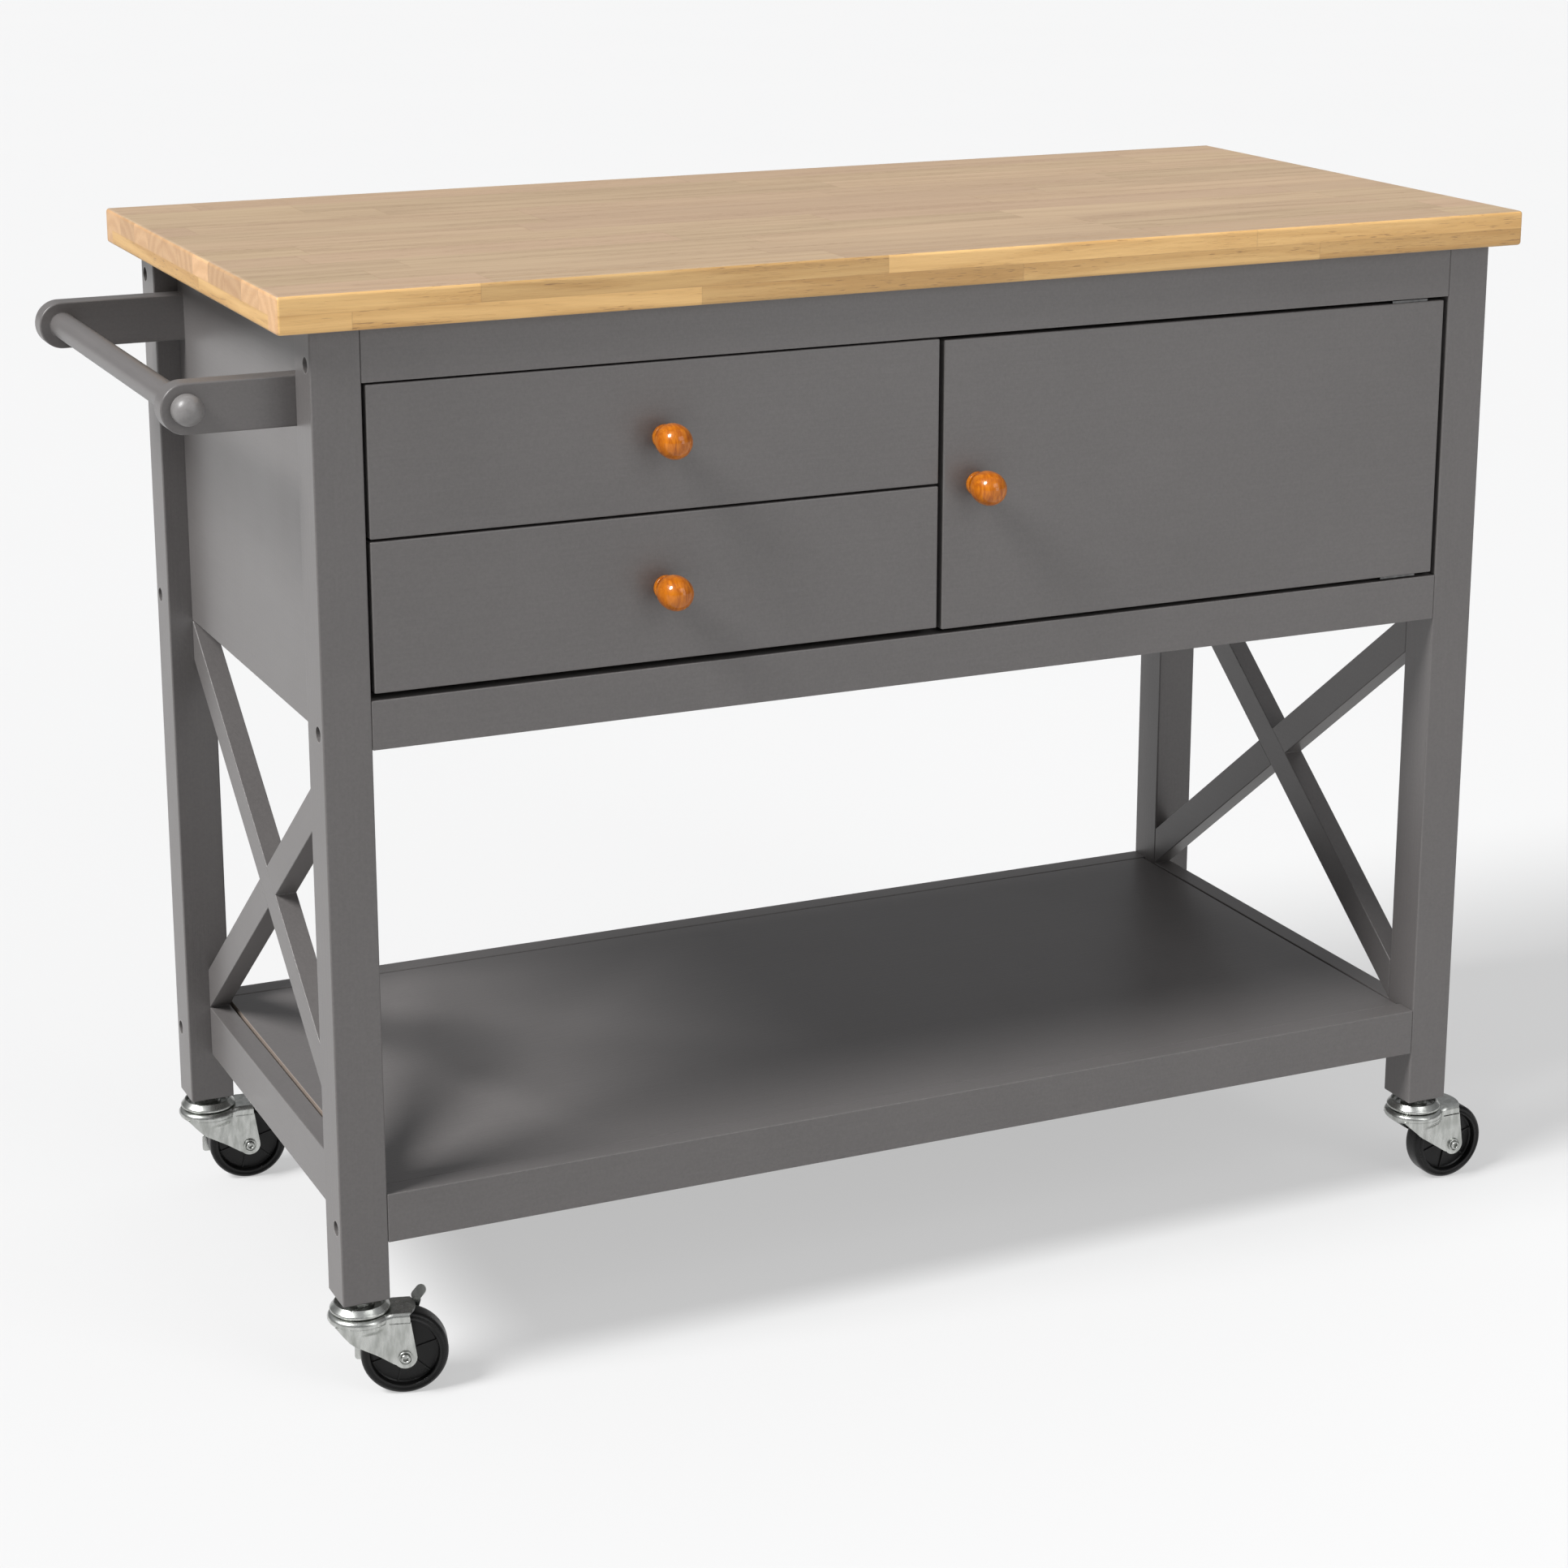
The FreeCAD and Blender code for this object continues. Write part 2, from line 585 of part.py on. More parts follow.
def make_handle():
    front_y = "leg_side - frame_depth / 2"
    back_y = "frame_depth / 2 - leg_side - bracket_thick"
    make_bracket("handle_bracket_front", front_y)
    make_bracket("handle_bracket_back", back_y)
    x = "bracket_tall / 2 - frame_length / 2 - bracket_reach"
    z = "bracket_low + bracket_tall / 2"
    bar = doc.addObject("Part::Cylinder", "handle_bar")
    bind(bar, Radius="bar_radius", Height="frame_depth - 2 * leg_side")
    turned(bar, Vector(1, 0, 0), -90)
    place(bar, x, front_y, z)
    node(bar)
    caps = []
    for end, y, way in (("front", front_y, 1), ("back", "frame_depth / 2 - leg_side", -1)):
        base = doc.addObject("Part::Cylinder", end + "_cap_base")
        bind(base, Radius="cap_radius", Height="cap_base")
        dome = doc.addObject("Part::Ellipsoid", end + "_cap_dome")
        dome.Angle1 = 0
        bind(dome, Radius1="cap_dome", Radius2="cap_radius", Radius3="cap_radius")
        bind(dome, Placement__Base__z="cap_base")
        cap = doc.addObject("Part::Fuse", end + "_cap")
        cap.Base = base
        cap.Tool = dome
        turned(cap, Vector(1, 0, 0), 90 * way)
        place(cap, x, y, z)
        caps.append(cap)
    group("handle_end_caps", caps)


# The bolts and cross dowels at the rails' ends

def make_bolt(label, x_side, y_side, rail):
    """A socket-head bolt, its head at the bottom of the sunk hole, pointing inwards along X."""
    head = doc.addObject("Part::Cylinder", label + "_head")
    bind(head, Radius="bolt_head_radius", Height="bolt_head_tall")
    shank = doc.addObject("Part::Cylinder", label + "_shank")
    bind(shank, Radius="bolt_radius", Height="leg_side - bolt_hole_deep + bolt_head_tall + bolt_reach")
    key = doc.addObject("Part::Prism", label + "_key")
    key.Polygon = 6
    bind(key, Circumradius="bolt_key_radius", Height="bolt_key_deep")
    body = doc.addObject("Part::Fuse", label + "_blank")
    body.Base = head
    body.Tool = shank
    bolt = doc.addObject("Part::Cut", label)
    bolt.Base = body
    bolt.Tool = key
    turned(bolt, Vector(0, 1, 0), 90 if x_side < 0 else -90)
    face = "bolt_hole_deep - bolt_head_tall"
    x = f"{face} - frame_length / 2" if x_side < 0 else f"frame_length / 2 - ({face})"
    y = "bolt_inset - frame_depth / 2" if y_side < 0 else "frame_depth / 2 - bolt_inset"
    place(bolt, x, y, f"{rail}_low + bolt_lift")
    return bolt


def make_dowel(label, x_side, y_side, rail):
    """A cross dowel, set from the rail's inner face, with a cross hole for the bolt."""
    drum = doc.addObject("Part::Cylinder", label + "_drum")
    bind(drum, Radius="dowel_radius", Height="dowel_length")
    hole = doc.addObject("Part::Cylinder", label + "_hole")
    bind(hole, Radius="bolt_radius + 0.05", Height="2 * dowel_radius + 2")
    turned(hole, Vector(0, 1, 0), 90)
    bind(hole, Placement__Base__x="0 - dowel_radius - 1", Placement__Base__z="rail_thick - bolt_inset - 1")
    dowel = doc.addObject("Part::Cut", label)
    dowel.Base = drum
    dowel.Tool = hole
    turned(dowel, Vector(1, 0, 0), 90 if y_side < 0 else -90)
    inset = "frame_length / 2 - leg_side - dowel_inset"
    x = f"0 - ({inset})" if x_side < 0 else inset
    y = "rail_thick - frame_depth / 2 - 1" if y_side < 0 else "frame_depth / 2 - rail_thick + 1"
    place(dowel, x, y, f"{rail}_low + bolt_lift")
    return dowel


def make_fixings():
    bolts = []
    dowels = []
    for corner, (x_side, y_side) in CORNERS.items():
        for rail in ("upper_rail", "lower_rail", "shelf_rail"):
            bolts.append(make_bolt(f"{corner}_{rail}_bolt", x_side, y_side, rail))
            dowels.append(make_dowel(f"{corner}_{rail}_dowel", x_side, y_side, rail))
    group("frame_bolts", bolts)
    group("barrel_nuts", dowels)


# The casters. Each piece is drawn with the swivel's axis on its own Z and its wheel behind on +X.

def at_caster(thing, corner):
    """Turn a caster's piece to its angle and stand it under its leg."""
    x_side, y_side = CORNERS[corner]
    turned(thing, Vector(0, 0, -1), DIMENSIONS["turn_" + corner])
    x = "frame_length / 2 - leg_side / 2" if x_side > 0 else "leg_side / 2 - frame_length / 2"
    y = "frame_depth / 2 - leg_side / 2" if y_side > 0 else "leg_side / 2 - frame_depth / 2"
    place(thing, x, y, "0")
    return thing


def make_stem(corner):
    """The fixed half of a swivel: kingpin with its head, raceway dish, nut and threaded stem."""
    body = doc.addObject("PartDesign::Body", corner + "_stem")
    profile = sketch_on(body, "XZ_Plane", corner + "_stem_profile")
    pin_head_low = "crown_low - 0.3 - kingpin_head_tall"
    dish_low = "crown_low + crown_thick + dish_gap"
    outline(profile, [
        ("0", pin_head_low), ("kingpin_head_radius", pin_head_low),
        ("kingpin_head_radius", "crown_low - 0.3"), ("kingpin_radius", "crown_low - 0.3"),
        ("kingpin_radius", dish_low), ("dish_radius - 1.2", dish_low), ("dish_radius", f"{dish_low} + 1.2"),
        ("dish_radius", f"{dish_low} + 2.4"), ("dish_radius - 2", f"{dish_low} + dish_tall"),
        ("dish_radius - 8", f"{dish_low} + dish_tall + 1"), ("nut_across / 2", f"{dish_low} + dish_tall + 1"),
        ("nut_across / 2", "leg_low - nut_tall"), ("stem_radius", "leg_low - nut_tall"),
        ("stem_radius", "leg_low + stem_reach"), ("0", "leg_low + stem_reach"),
    ])
    spin(body, profile, "V_Axis")
    hexagon = sketch_on(body, "XY_Plane", corner + "_nut", "leg_low - nut_tall")
    add_hexagon(hexagon, "nut_across / 2")
    pad(body, hexagon, "nut_tall")
    return at_caster(body, corner)


def add_hexagon(sketch, apothem):
    """A hexagon about the sketch's origin, its flats at the apothem."""
    reach = f"{apothem} * 1.1547"
    half = f"{apothem} * 0.57735"
    outline(sketch, [
        (reach, "0"), (half, apothem), (f"0 - {half}", apothem), (f"0 - {reach}", "0"),
        (f"0 - {half}", f"0 - {apothem}"), (half, f"0 - {apothem}"),
    ])


def make_fork(corner):
    """The turning half: a round crown with a skirt, a raised hood over the wheel and two cheeks."""
    body = doc.addObject("PartDesign::Body", "caster_fork_" + corner)
    half = "(cheek_inner + cheek_thick)"
    crown = sketch_on(body, "XY_Plane", corner + "_crown", "crown_low")
    circle(crown, "0", "0", "crown_radius")
    pad(body, crown, "crown_thick")
    bridge = sketch_on(body, "XY_Plane", corner + "_bridge", "crown_low")
    rectangle(bridge, "0", f"0 - {half}", "crown_end", f"2 * {half}")
    pad(body, bridge, "crown_thick")
    skirt = sketch_on(body, "XY_Plane", corner + "_skirt", "skirt_low")
    circle(skirt, "0", "0", "crown_radius")
    circle(skirt, "0", "0", "crown_radius - skirt_thick")
    pad(body, skirt, "crown_low - skirt_low")
    hood = sketch_on(body, "XY_Plane", corner + "_hood", "hood_low")
    outline(hood, [
        ("hood_end", half), ("hood_start", half),
        ("hood_start", f"0 - {half}"), ("hood_end", f"0 - {half}"),
    ], "hood_bulge_radius")
    pad(body, hood, "cheek_thick")
    for side, offset in (("near", half), ("far", "0 - cheek_inner")):
        cheek = sketch_on(body, "XZ_Plane", f"{corner}_{side}_cheek", offset)
        outline(cheek, [
            ("skirt_thick - 0.8 * crown_radius", "skirt_low"), ("0 - 6", "skirt_low - 13"),
            ("trail - 0.55 * cheek_end_radius", "wheel_radius - 0.83 * cheek_end_radius"),
            ("trail + 0.99 * cheek_end_radius", "wheel_radius + 0.14 * cheek_end_radius"),
            ("hood_end", "hood_low + cheek_thick"), ("hood_start", "hood_low + cheek_thick"),
            ("hood_start", "crown_low + crown_thick"),
            ("skirt_thick - 0.8 * crown_radius", "crown_low + crown_thick"),
        ])
        pad(body, cheek, "cheek_thick", backward=True)
        end = sketch_on(body, "XZ_Plane", f"{corner}_{side}_end", offset)
        circle(end, "trail", "wheel_radius", "cheek_end_radius")
        pad(body, end, "cheek_thick", backward=True)
    # The skirt is open on the wheel's side, between the cheeks.
    mouth = sketch_on(body, "XY_Plane", corner + "_mouth", "skirt_low - 1")
    rectangle(mouth, "2", "0 - cheek_inner", "crown_radius", "2 * cheek_inner")
    pocket(body, mouth, "crown_low - skirt_low + 1", backward=True)
    pivot = sketch_on(body, "XY_Plane", corner + "_kingpin_hole", "crown_low - 1")
    circle(pivot, "0", "0", "kingpin_radius + kingpin_clearance")
    pocket(body, pivot, "crown_thick + 2", backward=True)
    axle = sketch_on(body, "XZ_Plane", corner + "_axle_hole", half)
    circle(axle, "trail", "wheel_radius", "axle_radius + 0.05")
    pocket(body, axle, f"2 * {half}")
    return node(at_caster(body, corner))


def axle_sketch(body, name):
    """A sketch whose own Y axis is the wheel's axle."""
    sketch = sketch_on(body, "XY_Plane", name, "wheel_radius")
    bind(sketch, AttachmentOffset__Base__x="trail")
    return sketch


def mirror_outline(sketch, half):
    """An outline from half of a turned profile and its mirror image across the middle plane."""
    outline(sketch, half + [(radius, f"0 - ({across})") for radius, across in reversed(half)])


def make_wheel(corner):
    """A moulded wheel: crowned tread, rim ridge, dished web and a wide hub, bored for the axle."""
    body = doc.addObject("PartDesign::Body", "caster_wheel_" + corner)
    profile = axle_sketch(body, corner + "_wheel_profile")
    bore = "axle_radius + axle_clearance"
    mirror_outline(profile, [
        (bore, "hub_half"), ("hub_radius", "hub_half"), ("hub_radius + 1", "tread_half - 6"),
        ("wheel_radius - 9", "tread_half - 6"), ("wheel_radius - 7.5", "tread_half - 1"),
        ("wheel_radius - 5", "tread_half"), ("wheel_radius - 2", "tread_half - 0.8"),
        ("wheel_radius - 0.5", "tread_half - 3"), ("wheel_radius", "tread_half - 6"),
    ])
    spin(body, profile, "V_Axis")
    return node(at_caster(body, corner))


def make_axle(corner):
    """The axle bolt across the fork, with a head outside each cheek and a spacer inside it."""
    body = doc.addObject("PartDesign::Body", "caster_axle_" + corner)
    profile = axle_sketch(body, corner + "_axle_profile")
    outer = "(cheek_inner + cheek_thick)"
    half = [
        ("0", f"{outer} + axle_head_tall"), ("axle_head_radius - 1", f"{outer} + axle_head_tall"),
        ("axle_head_radius", f"{outer} + axle_head_tall - 1"), ("axle_head_radius", outer),
        ("axle_radius", outer), ("axle_radius", "cheek_inner"), ("spacer_radius", "cheek_inner"),
        ("spacer_radius", "spacer_low"), ("axle_radius", "spacer_low"),
    ]
    mirror_outline(profile, half)
    spin(body, profile, "V_Axis")
    return node(at_caster(body, corner))


def make_brake(corner):
    """A stamped lever on the axle, beside the wheel: a release tab low in front and a pedal up behind."""
    body = doc.addObject("PartDesign::Body", "brake_lever_" + corner)
    inner = "0 - brake_inner"
    release = ("trail - release_x", "wheel_radius - release_z")
    pedal = ("trail + pedal_x", "wheel_radius + pedal_z")
    for name, centre, radius in (
        ("eye", ("trail", "wheel_radius"), "brake_eye_radius"),
        ("release", release, "release_radius"),
        ("pedal", pedal, "pedal_radius"),
    ):
        round_end = sketch_on(body, "XZ_Plane", f"{corner}_{name}_round", inner)
        circle(round_end, centre[0], centre[1], radius)
        pad(body, round_end, "brake_thick", backward=True)
        if name == "eye":
            continue
        arm = sketch_on(body, "XZ_Plane", f"{corner}_{name}_arm", inner)
        sideways = name == "pedal"
        step_x, step_z = ("brake_arm_half", "0") if sideways else ("0", "brake_arm_half")
        outline(arm, [
            (f"trail - {step_x}", f"wheel_radius - {step_z}"),
            (f"trail + {step_x}", f"wheel_radius + {step_z}"),
            (f"{centre[0]} + {step_x}", f"{centre[1]} + {step_z}"),
            (f"{centre[0]} - {step_x}", f"{centre[1]} - {step_z}"),
        ])
        pad(body, arm, "brake_thick", backward=True)
    hole = sketch_on(body, "XZ_Plane", corner + "_brake_hole", inner)
    circle(hole, "trail", "wheel_radius", "axle_radius + axle_clearance")
    pocket(body, hole, "brake_thick + 1")
    return node(at_caster(body, corner))


# The whole cart

CORNERS = {
    "front_left": (-1, -1),
    "front_right": (1, -1),
    "back_left": (-1, 1),
    "back_right": (1, 1),
}

make_top()
for corner, (x_side, y_side) in CORNERS.items():
    make_leg(corner, x_side, y_side)
for face_name, y_side in (("front", -1), ("back", 1)):
    for rail_name in ("upper_rail", "lower_rail", "shelf_rail"):
        make_rail(face_name, rail_name, y_side)
make_end("left")
make_end("right")
make_boards()
group("drawer_slides", make_drawer("upper") + make_drawer("lower"))
make_door()
make_handle()
make_fixings()
group("caster_stems", [make_stem(corner) for corner in CORNERS])
for corner in CORNERS:
    make_fork(corner)
    make_wheel(corner)
    make_axle(corner)
make_brake("front_left")
make_brake("back_left")
doc.recompute()

# Nothing is written unless every object computed and every pocket took material away.
for thing in doc.Objects:
    if "Invalid" in thing.State or "Error" in thing.State:
        raise RuntimeError(f"{thing.Label} did not compute: {thing.State}")
    if thing.TypeId == "PartDesign::Pocket" and thing.Shape.Volume > thing.BaseFeature.Shape.Volume - 1:
        raise RuntimeError(f"{thing.Label} cut nothing")
for part in nodes:
    if part.Shape.isNull() or not part.Shape.isValid() or not part.Shape.Solids:
        raise RuntimeError(f"{part.Label} has no valid solid")

os.makedirs("parts", exist_ok=True)
for part in nodes:
    part.Shape.exportStep(f"parts/{part.Label}.step")
whole = FreeCAD.BoundBox()
for part in nodes:
    whole.add(part.Shape.optimalBoundingBox())
print(f"{len(nodes)} sub-parts, {whole.XLength:.2f} by {whole.YLength:.2f} by {whole.ZLength:.2f} mm")
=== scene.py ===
import json
import math

import bmesh
import bpy
from mathutils import Matrix, Vector


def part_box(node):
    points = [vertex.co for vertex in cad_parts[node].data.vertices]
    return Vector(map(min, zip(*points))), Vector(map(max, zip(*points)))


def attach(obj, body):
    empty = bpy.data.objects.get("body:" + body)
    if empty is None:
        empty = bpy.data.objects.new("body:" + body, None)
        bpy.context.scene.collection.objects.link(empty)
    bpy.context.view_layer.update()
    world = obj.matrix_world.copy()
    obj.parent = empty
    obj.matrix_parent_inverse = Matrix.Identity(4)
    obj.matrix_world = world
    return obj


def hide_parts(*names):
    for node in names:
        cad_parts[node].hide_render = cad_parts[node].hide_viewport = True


# A kitchen cart with a butcher block top: its finishes, finer knobs and casters, studio light and camera.
# Places and the sizes of features in a finish are in metres, in the row frame, and colours are linear.
# The shapes of new pieces are in millimetres, each in a frame of its own.

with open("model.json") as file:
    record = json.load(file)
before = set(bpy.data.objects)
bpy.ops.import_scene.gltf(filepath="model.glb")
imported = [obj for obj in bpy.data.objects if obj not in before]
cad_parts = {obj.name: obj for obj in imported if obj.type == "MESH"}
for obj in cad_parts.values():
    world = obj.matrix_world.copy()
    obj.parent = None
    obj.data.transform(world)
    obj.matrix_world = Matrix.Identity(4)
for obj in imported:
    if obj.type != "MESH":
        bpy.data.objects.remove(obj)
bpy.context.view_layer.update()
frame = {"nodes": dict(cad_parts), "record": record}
MM = 0.001
X, Y, Z = range(3)


# ---------------------------------------------------------------- material nodes

class Graph:
    """One material's nodes, with a short method for each kind of node that the finishes use."""

    def __init__(self, name):
        self.material = bpy.data.materials.new(name)
        self.material.use_nodes = True
        self.tree = self.material.node_tree
        self.shader = self.tree.nodes["Principled BSDF"]
        coordinates = self.add("ShaderNodeTexCoord")
        self.place = coordinates.outputs["Object"]
        self.facing = coordinates.outputs["Normal"]

    def add(self, kind, **settings):
        node = self.tree.nodes.new(kind)
        for name, value in settings.items():
            setattr(node, name, value)
        return node

    def feed(self, socket, value):
        """Links another node's output to an input, or sets the input to a plain value."""
        if isinstance(value, bpy.types.NodeSocket):
            self.tree.links.new(value, socket)
        else:
            socket.default_value = value

    def math(self, operation, *values):
        node = self.add("ShaderNodeMath", operation=operation)
        for socket, value in zip(node.inputs, values):
            self.feed(socket, value)
        return node.outputs[0]

    def total(self, base, *layers):
        """The base plus each layer's value times its share: layers are (value, share)."""
        for value, share in layers:
            base = self.math("MULTIPLY_ADD", value, share, base)
        return base

    def split(self, vector):
        node = self.add("ShaderNodeSeparateXYZ")
        self.feed(node.inputs[0], vector)
        return tuple(node.outputs)

    def join(self, *values):
        node = self.add("ShaderNodeCombineXYZ")
        for socket, value in zip(node.inputs, values):
            self.feed(socket, value)
        return node.outputs[0]

    def stretched(self, sizes, shift):
        """The place on the object counted in features of these sizes, moved by shift features."""
        scaled = self.add("ShaderNodeVectorMath", operation="DIVIDE")
        self.feed(scaled.inputs[0], self.place)
        scaled.inputs[1].default_value = sizes
        shifted = self.add("ShaderNodeVectorMath", operation="ADD")
        self.feed(shifted.inputs[0], scaled.outputs[0])
        self.feed(shifted.inputs[1], shift)
        return shifted.outputs[0]

    def noise(self, size, shift=(0, 0, 0), detail=3, roughness=0.55, distortion=0):
        """Soft random values from 0 to 1, in features of one size or of a size along each axis."""
        sizes = size if isinstance(size, tuple) else (size, size, size)
        node = self.add("ShaderNodeTexNoise")
        self.feed(node.inputs["Vector"], self.stretched(sizes, shift))
        node.inputs["Scale"].default_value = 1
        node.inputs["Detail"].default_value = detail
        node.inputs["Roughness"].default_value = roughness
        node.inputs["Distortion"].default_value = distortion
        return node.outputs["Fac"]

    def chance(self, *values):
        """Three random numbers from 0 to 1 that stay the same for the same values."""
        node = self.add("ShaderNodeTexWhiteNoise", noise_dimensions="3D")
        self.feed(node.inputs["Vector"], self.join(*values))
        return self.split(node.outputs["Color"])

    def ramp(self, value, low, high, start=0.0, end=1.0):
        """Takes low..high to start..end, smoothly, and holds it there outside."""
        node = self.add("ShaderNodeMapRange", interpolation_type="SMOOTHSTEP")
        for name, given in (("Value", value), ("From Min", low), ("From Max", high),
                            ("To Min", start), ("To Max", end)):
            self.feed(node.inputs[name], given)
        return node.outputs[0]

    def blend(self, factor, first, second, kind="MIX"):
        node = self.add("ShaderNodeMix", data_type="RGBA", blend_type=kind)
        # The node has sockets of the same names for each data type. These are the ones for colours.
        sockets = node.inputs[0], node.inputs[6], node.inputs[7]
        for socket, value in zip(sockets, (factor, first, second)):
            self.feed(socket, (*value, 1) if isinstance(value, tuple) else value)
        return node.outputs[2]

    def cover(self, colour, mask, strength, second):
        """The colour with a second one over it where the mask is 1, at this strength."""
        return self.blend(self.math("MULTIPLY", mask, strength), colour, second)

    def shade(self, colour, amount):
        """The colour made lighter or darker by a number round 1."""
        grey = self.join(amount, amount, amount)
        return self.blend(1.0, colour, grey, "MULTIPLY")

    def edges(self, radius):
        """1 along edges and corners, fading to 0 within the radius."""
        soft = self.add("ShaderNodeBevel", samples=6)
        soft.inputs["Radius"].default_value = radius
        plain = self.add("ShaderNodeNewGeometry")
        agree = self.add("ShaderNodeVectorMath", operation="DOT_PRODUCT")
        self.feed(agree.inputs[0], soft.outputs[0])
        self.feed(agree.inputs[1], plain.outputs["Normal"])
        return self.ramp(agree.outputs["Value"], 0.97, 0.80)

    def bump(self, *layers):
        """Layers of (height from 0 to 1, depth), one on top of another."""
        normal = None
        for height, depth in layers:
            node = self.add("ShaderNodeBump")
            node.inputs["Distance"].default_value = depth
            self.feed(node.inputs["Height"], height)
            if normal is not None:
                self.feed(node.inputs["Normal"], normal)
            normal = node.outputs[0]
        self.feed(self.shader.inputs["Normal"], normal)

    def finish(self, colour, roughness, **constants):
        self.feed(self.shader.inputs["Base Color"], colour)
        self.feed(self.shader.inputs["Roughness"], roughness)
        for name, value in constants.items():
            self.shader.inputs[name.replace("_", " ")].default_value = value
        return self.material


def along(axis, length, width):
    """Feature sizes for streaks that run along one axis."""
    sizes = [width] * 3
    sizes[axis] = length
    return tuple(sizes)


# ---------------------------------------------------------------- paint

PAINT = (0.112, 0.105, 0.103)
PAINT_CAPS = (0.175, 0.168, 0.165)
# A lighter grey for the arrises: partly wear, partly a painted highlight along the edges.
PAINT_WEAR_AND_HIGHLIGHT = (0.29, 0.28, 0.27)
RAW_BOARD = (0.27, 0.22, 0.185)


def grey_paint(name, grain_axis, paint=PAINT, raw_ends=False):
    """Sprayed satin paint: broad clouds, faint wood grain, orange peel, specks, and arrises lightened by wear
    and a painted highlight.
    """
    graph = Graph(name)
    clouds = graph.noise(0.11, detail=2)
    grain = graph.noise(along(grain_axis, 0.07, 0.0022), detail=4, roughness=0.65)
    peel = graph.noise(0.0016, detail=1)
    specks = graph.noise(0.0026, detail=3, roughness=0.7)
    light = graph.total(0.68, (clouds, 0.16), (grain, 0.14), (specks, 0.34))
    colour = graph.shade(paint, light)
    if raw_ends:
        is_end = graph.ramp(graph.math("ABSOLUTE", graph.split(graph.facing)[X]), 0.5, 0.7)
        colour = graph.blend(is_end, colour, graph.shade(RAW_BOARD, light))
    # Lighter arrises in patches: partly wear, partly a painted highlight along the edges.
    wear_and_highlight = graph.ramp(specks, 0.30, 0.62, start=0.35, end=0.9)
    colour = graph.cover(colour, graph.edges(0.0018), wear_and_highlight, PAINT_WEAR_AND_HIGHLIGHT)
    graph.bump((grain, 0.00010), (peel, 0.00006))
    return graph.finish(colour, graph.total(0.26, (clouds, 0.14), (specks, 0.08)))


# ---------------------------------------------------------------- wood

TOP_PALE = (0.428, 0.315, 0.196)
TOP_DEEP = (0.335, 0.235, 0.143)
TOP_PINK = (0.391, 0.262, 0.180)
EDGE_PALE = (0.66, 0.415, 0.165)
EDGE_DEEP = (0.48, 0.270, 0.090)
SAWN_PALE = (0.52, 0.320, 0.165)
SAWN_DEEP = (0.39, 0.210, 0.095)
BARE_PALE = (0.62, 0.47, 0.30)
BARE_DEEP = (0.47, 0.33, 0.19)
STAINED_PALE = (0.50, 0.150, 0.006)
STAINED_DEEP = (0.31, 0.073, 0.002)
STAINED_PORE = (0.16, 0.03, 0.006)
PORE = (0.20, 0.11, 0.05)

TOP_LOW, TOP_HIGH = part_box("top_edge_strips")
BOARD_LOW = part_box("top_board")[0]
STAVE_WIDTH = 0.0475
TOP_STICKS = (0.26, 0.52)
EDGE_STICKS = (0.24, 0.44)
JOINT_FADED = 0.0009
JOINT_FULL = 0.0003
RING_SPACING = 0.0135
HEARTS_BELOW_TOP = 0.049
HEARTS_SPREAD = 0.05


def sticks(graph, run, rows, lengths, seed):
    """Sticks end to end in each row: three random numbers for each stick, and 1 on the joints between."""
    most_sticks_ahead = 9.0
    row = graph.math("FLOOR", rows)
    start, size, _ = graph.chance(row, seed, 0.5)
    shortest, longest_stick = lengths
    size = graph.total(shortest, (size, longest_stick - shortest))
    place = graph.total(graph.math("DIVIDE", run, size), (start, most_sticks_ahead))
    stick = graph.math("FLOOR", place)
    draws = graph.chance(row, stick, seed)
    from_joint = graph.math("MULTIPLY", graph.math("PINGPONG", place, 0.5), size)
    return draws, graph.ramp(from_joint, JOINT_FADED, JOINT_FULL)


def glue_lines(graph, rows, faded, full):
    """1 where two rows meet, fading to 0 away from there. Both distances are shares of a row."""
    return graph.ramp(graph.math("PINGPONG", rows, 0.5), faded, full)


def long_grain(graph, axis, draws):
    """Streaks, fine fibres and short dark pores that run along an axis, different on each stick."""
    farthest_shift = 40.0
    shift = graph.join(*(graph.math("MULTIPLY", draw, farthest_shift) for draw in draws))
    streaks = graph.noise(along(axis, 0.26, 0.015), shift, detail=5, roughness=0.55, distortion=0.8)
    fibres = graph.noise(along(axis, 0.05, 0.0011), shift, detail=3, roughness=0.6)
    pores = graph.noise(along(axis, 0.014, 0.0009), shift, detail=2, roughness=0.5)
    crowd = graph.ramp(streaks, 0.42, 0.58)
    pores = graph.math("MULTIPLY", graph.ramp(pores, 0.60, 0.69), crowd)
    return streaks, fibres, pores


def stave_rows(graph, y):
    """How many staves there are from the front edge to here."""
    return graph.math("DIVIDE", graph.math("SUBTRACT", y, TOP_LOW.y), STAVE_WIDTH)


def block_top(graph):
    """Staves along X for the top and the underside: their colour, fibres and pores."""
    x, y, _ = graph.split(graph.place)
    rows = stave_rows(graph, y)
    draws, joints = sticks(graph, x, rows, TOP_STICKS, seed=3.0)
    streaks, fibres, pores = long_grain(graph, X, draws)
    colour = graph.blend(graph.ramp(streaks, 0.28, 0.76), TOP_PALE, TOP_DEEP)
    colour = graph.cover(colour, draws[0], 0.55, TOP_PINK)
    colour = graph.shade(colour, graph.total(0.89, (draws[1], 0.10), (fibres, 0.12)))
    seams = graph.math("MAXIMUM", glue_lines(graph, rows, 0.012, 0.003), joints)
    colour = graph.cover(colour, seams, 0.16, PORE)
    return graph.cover(colour, pores, 0.38, PORE), fibres, pores


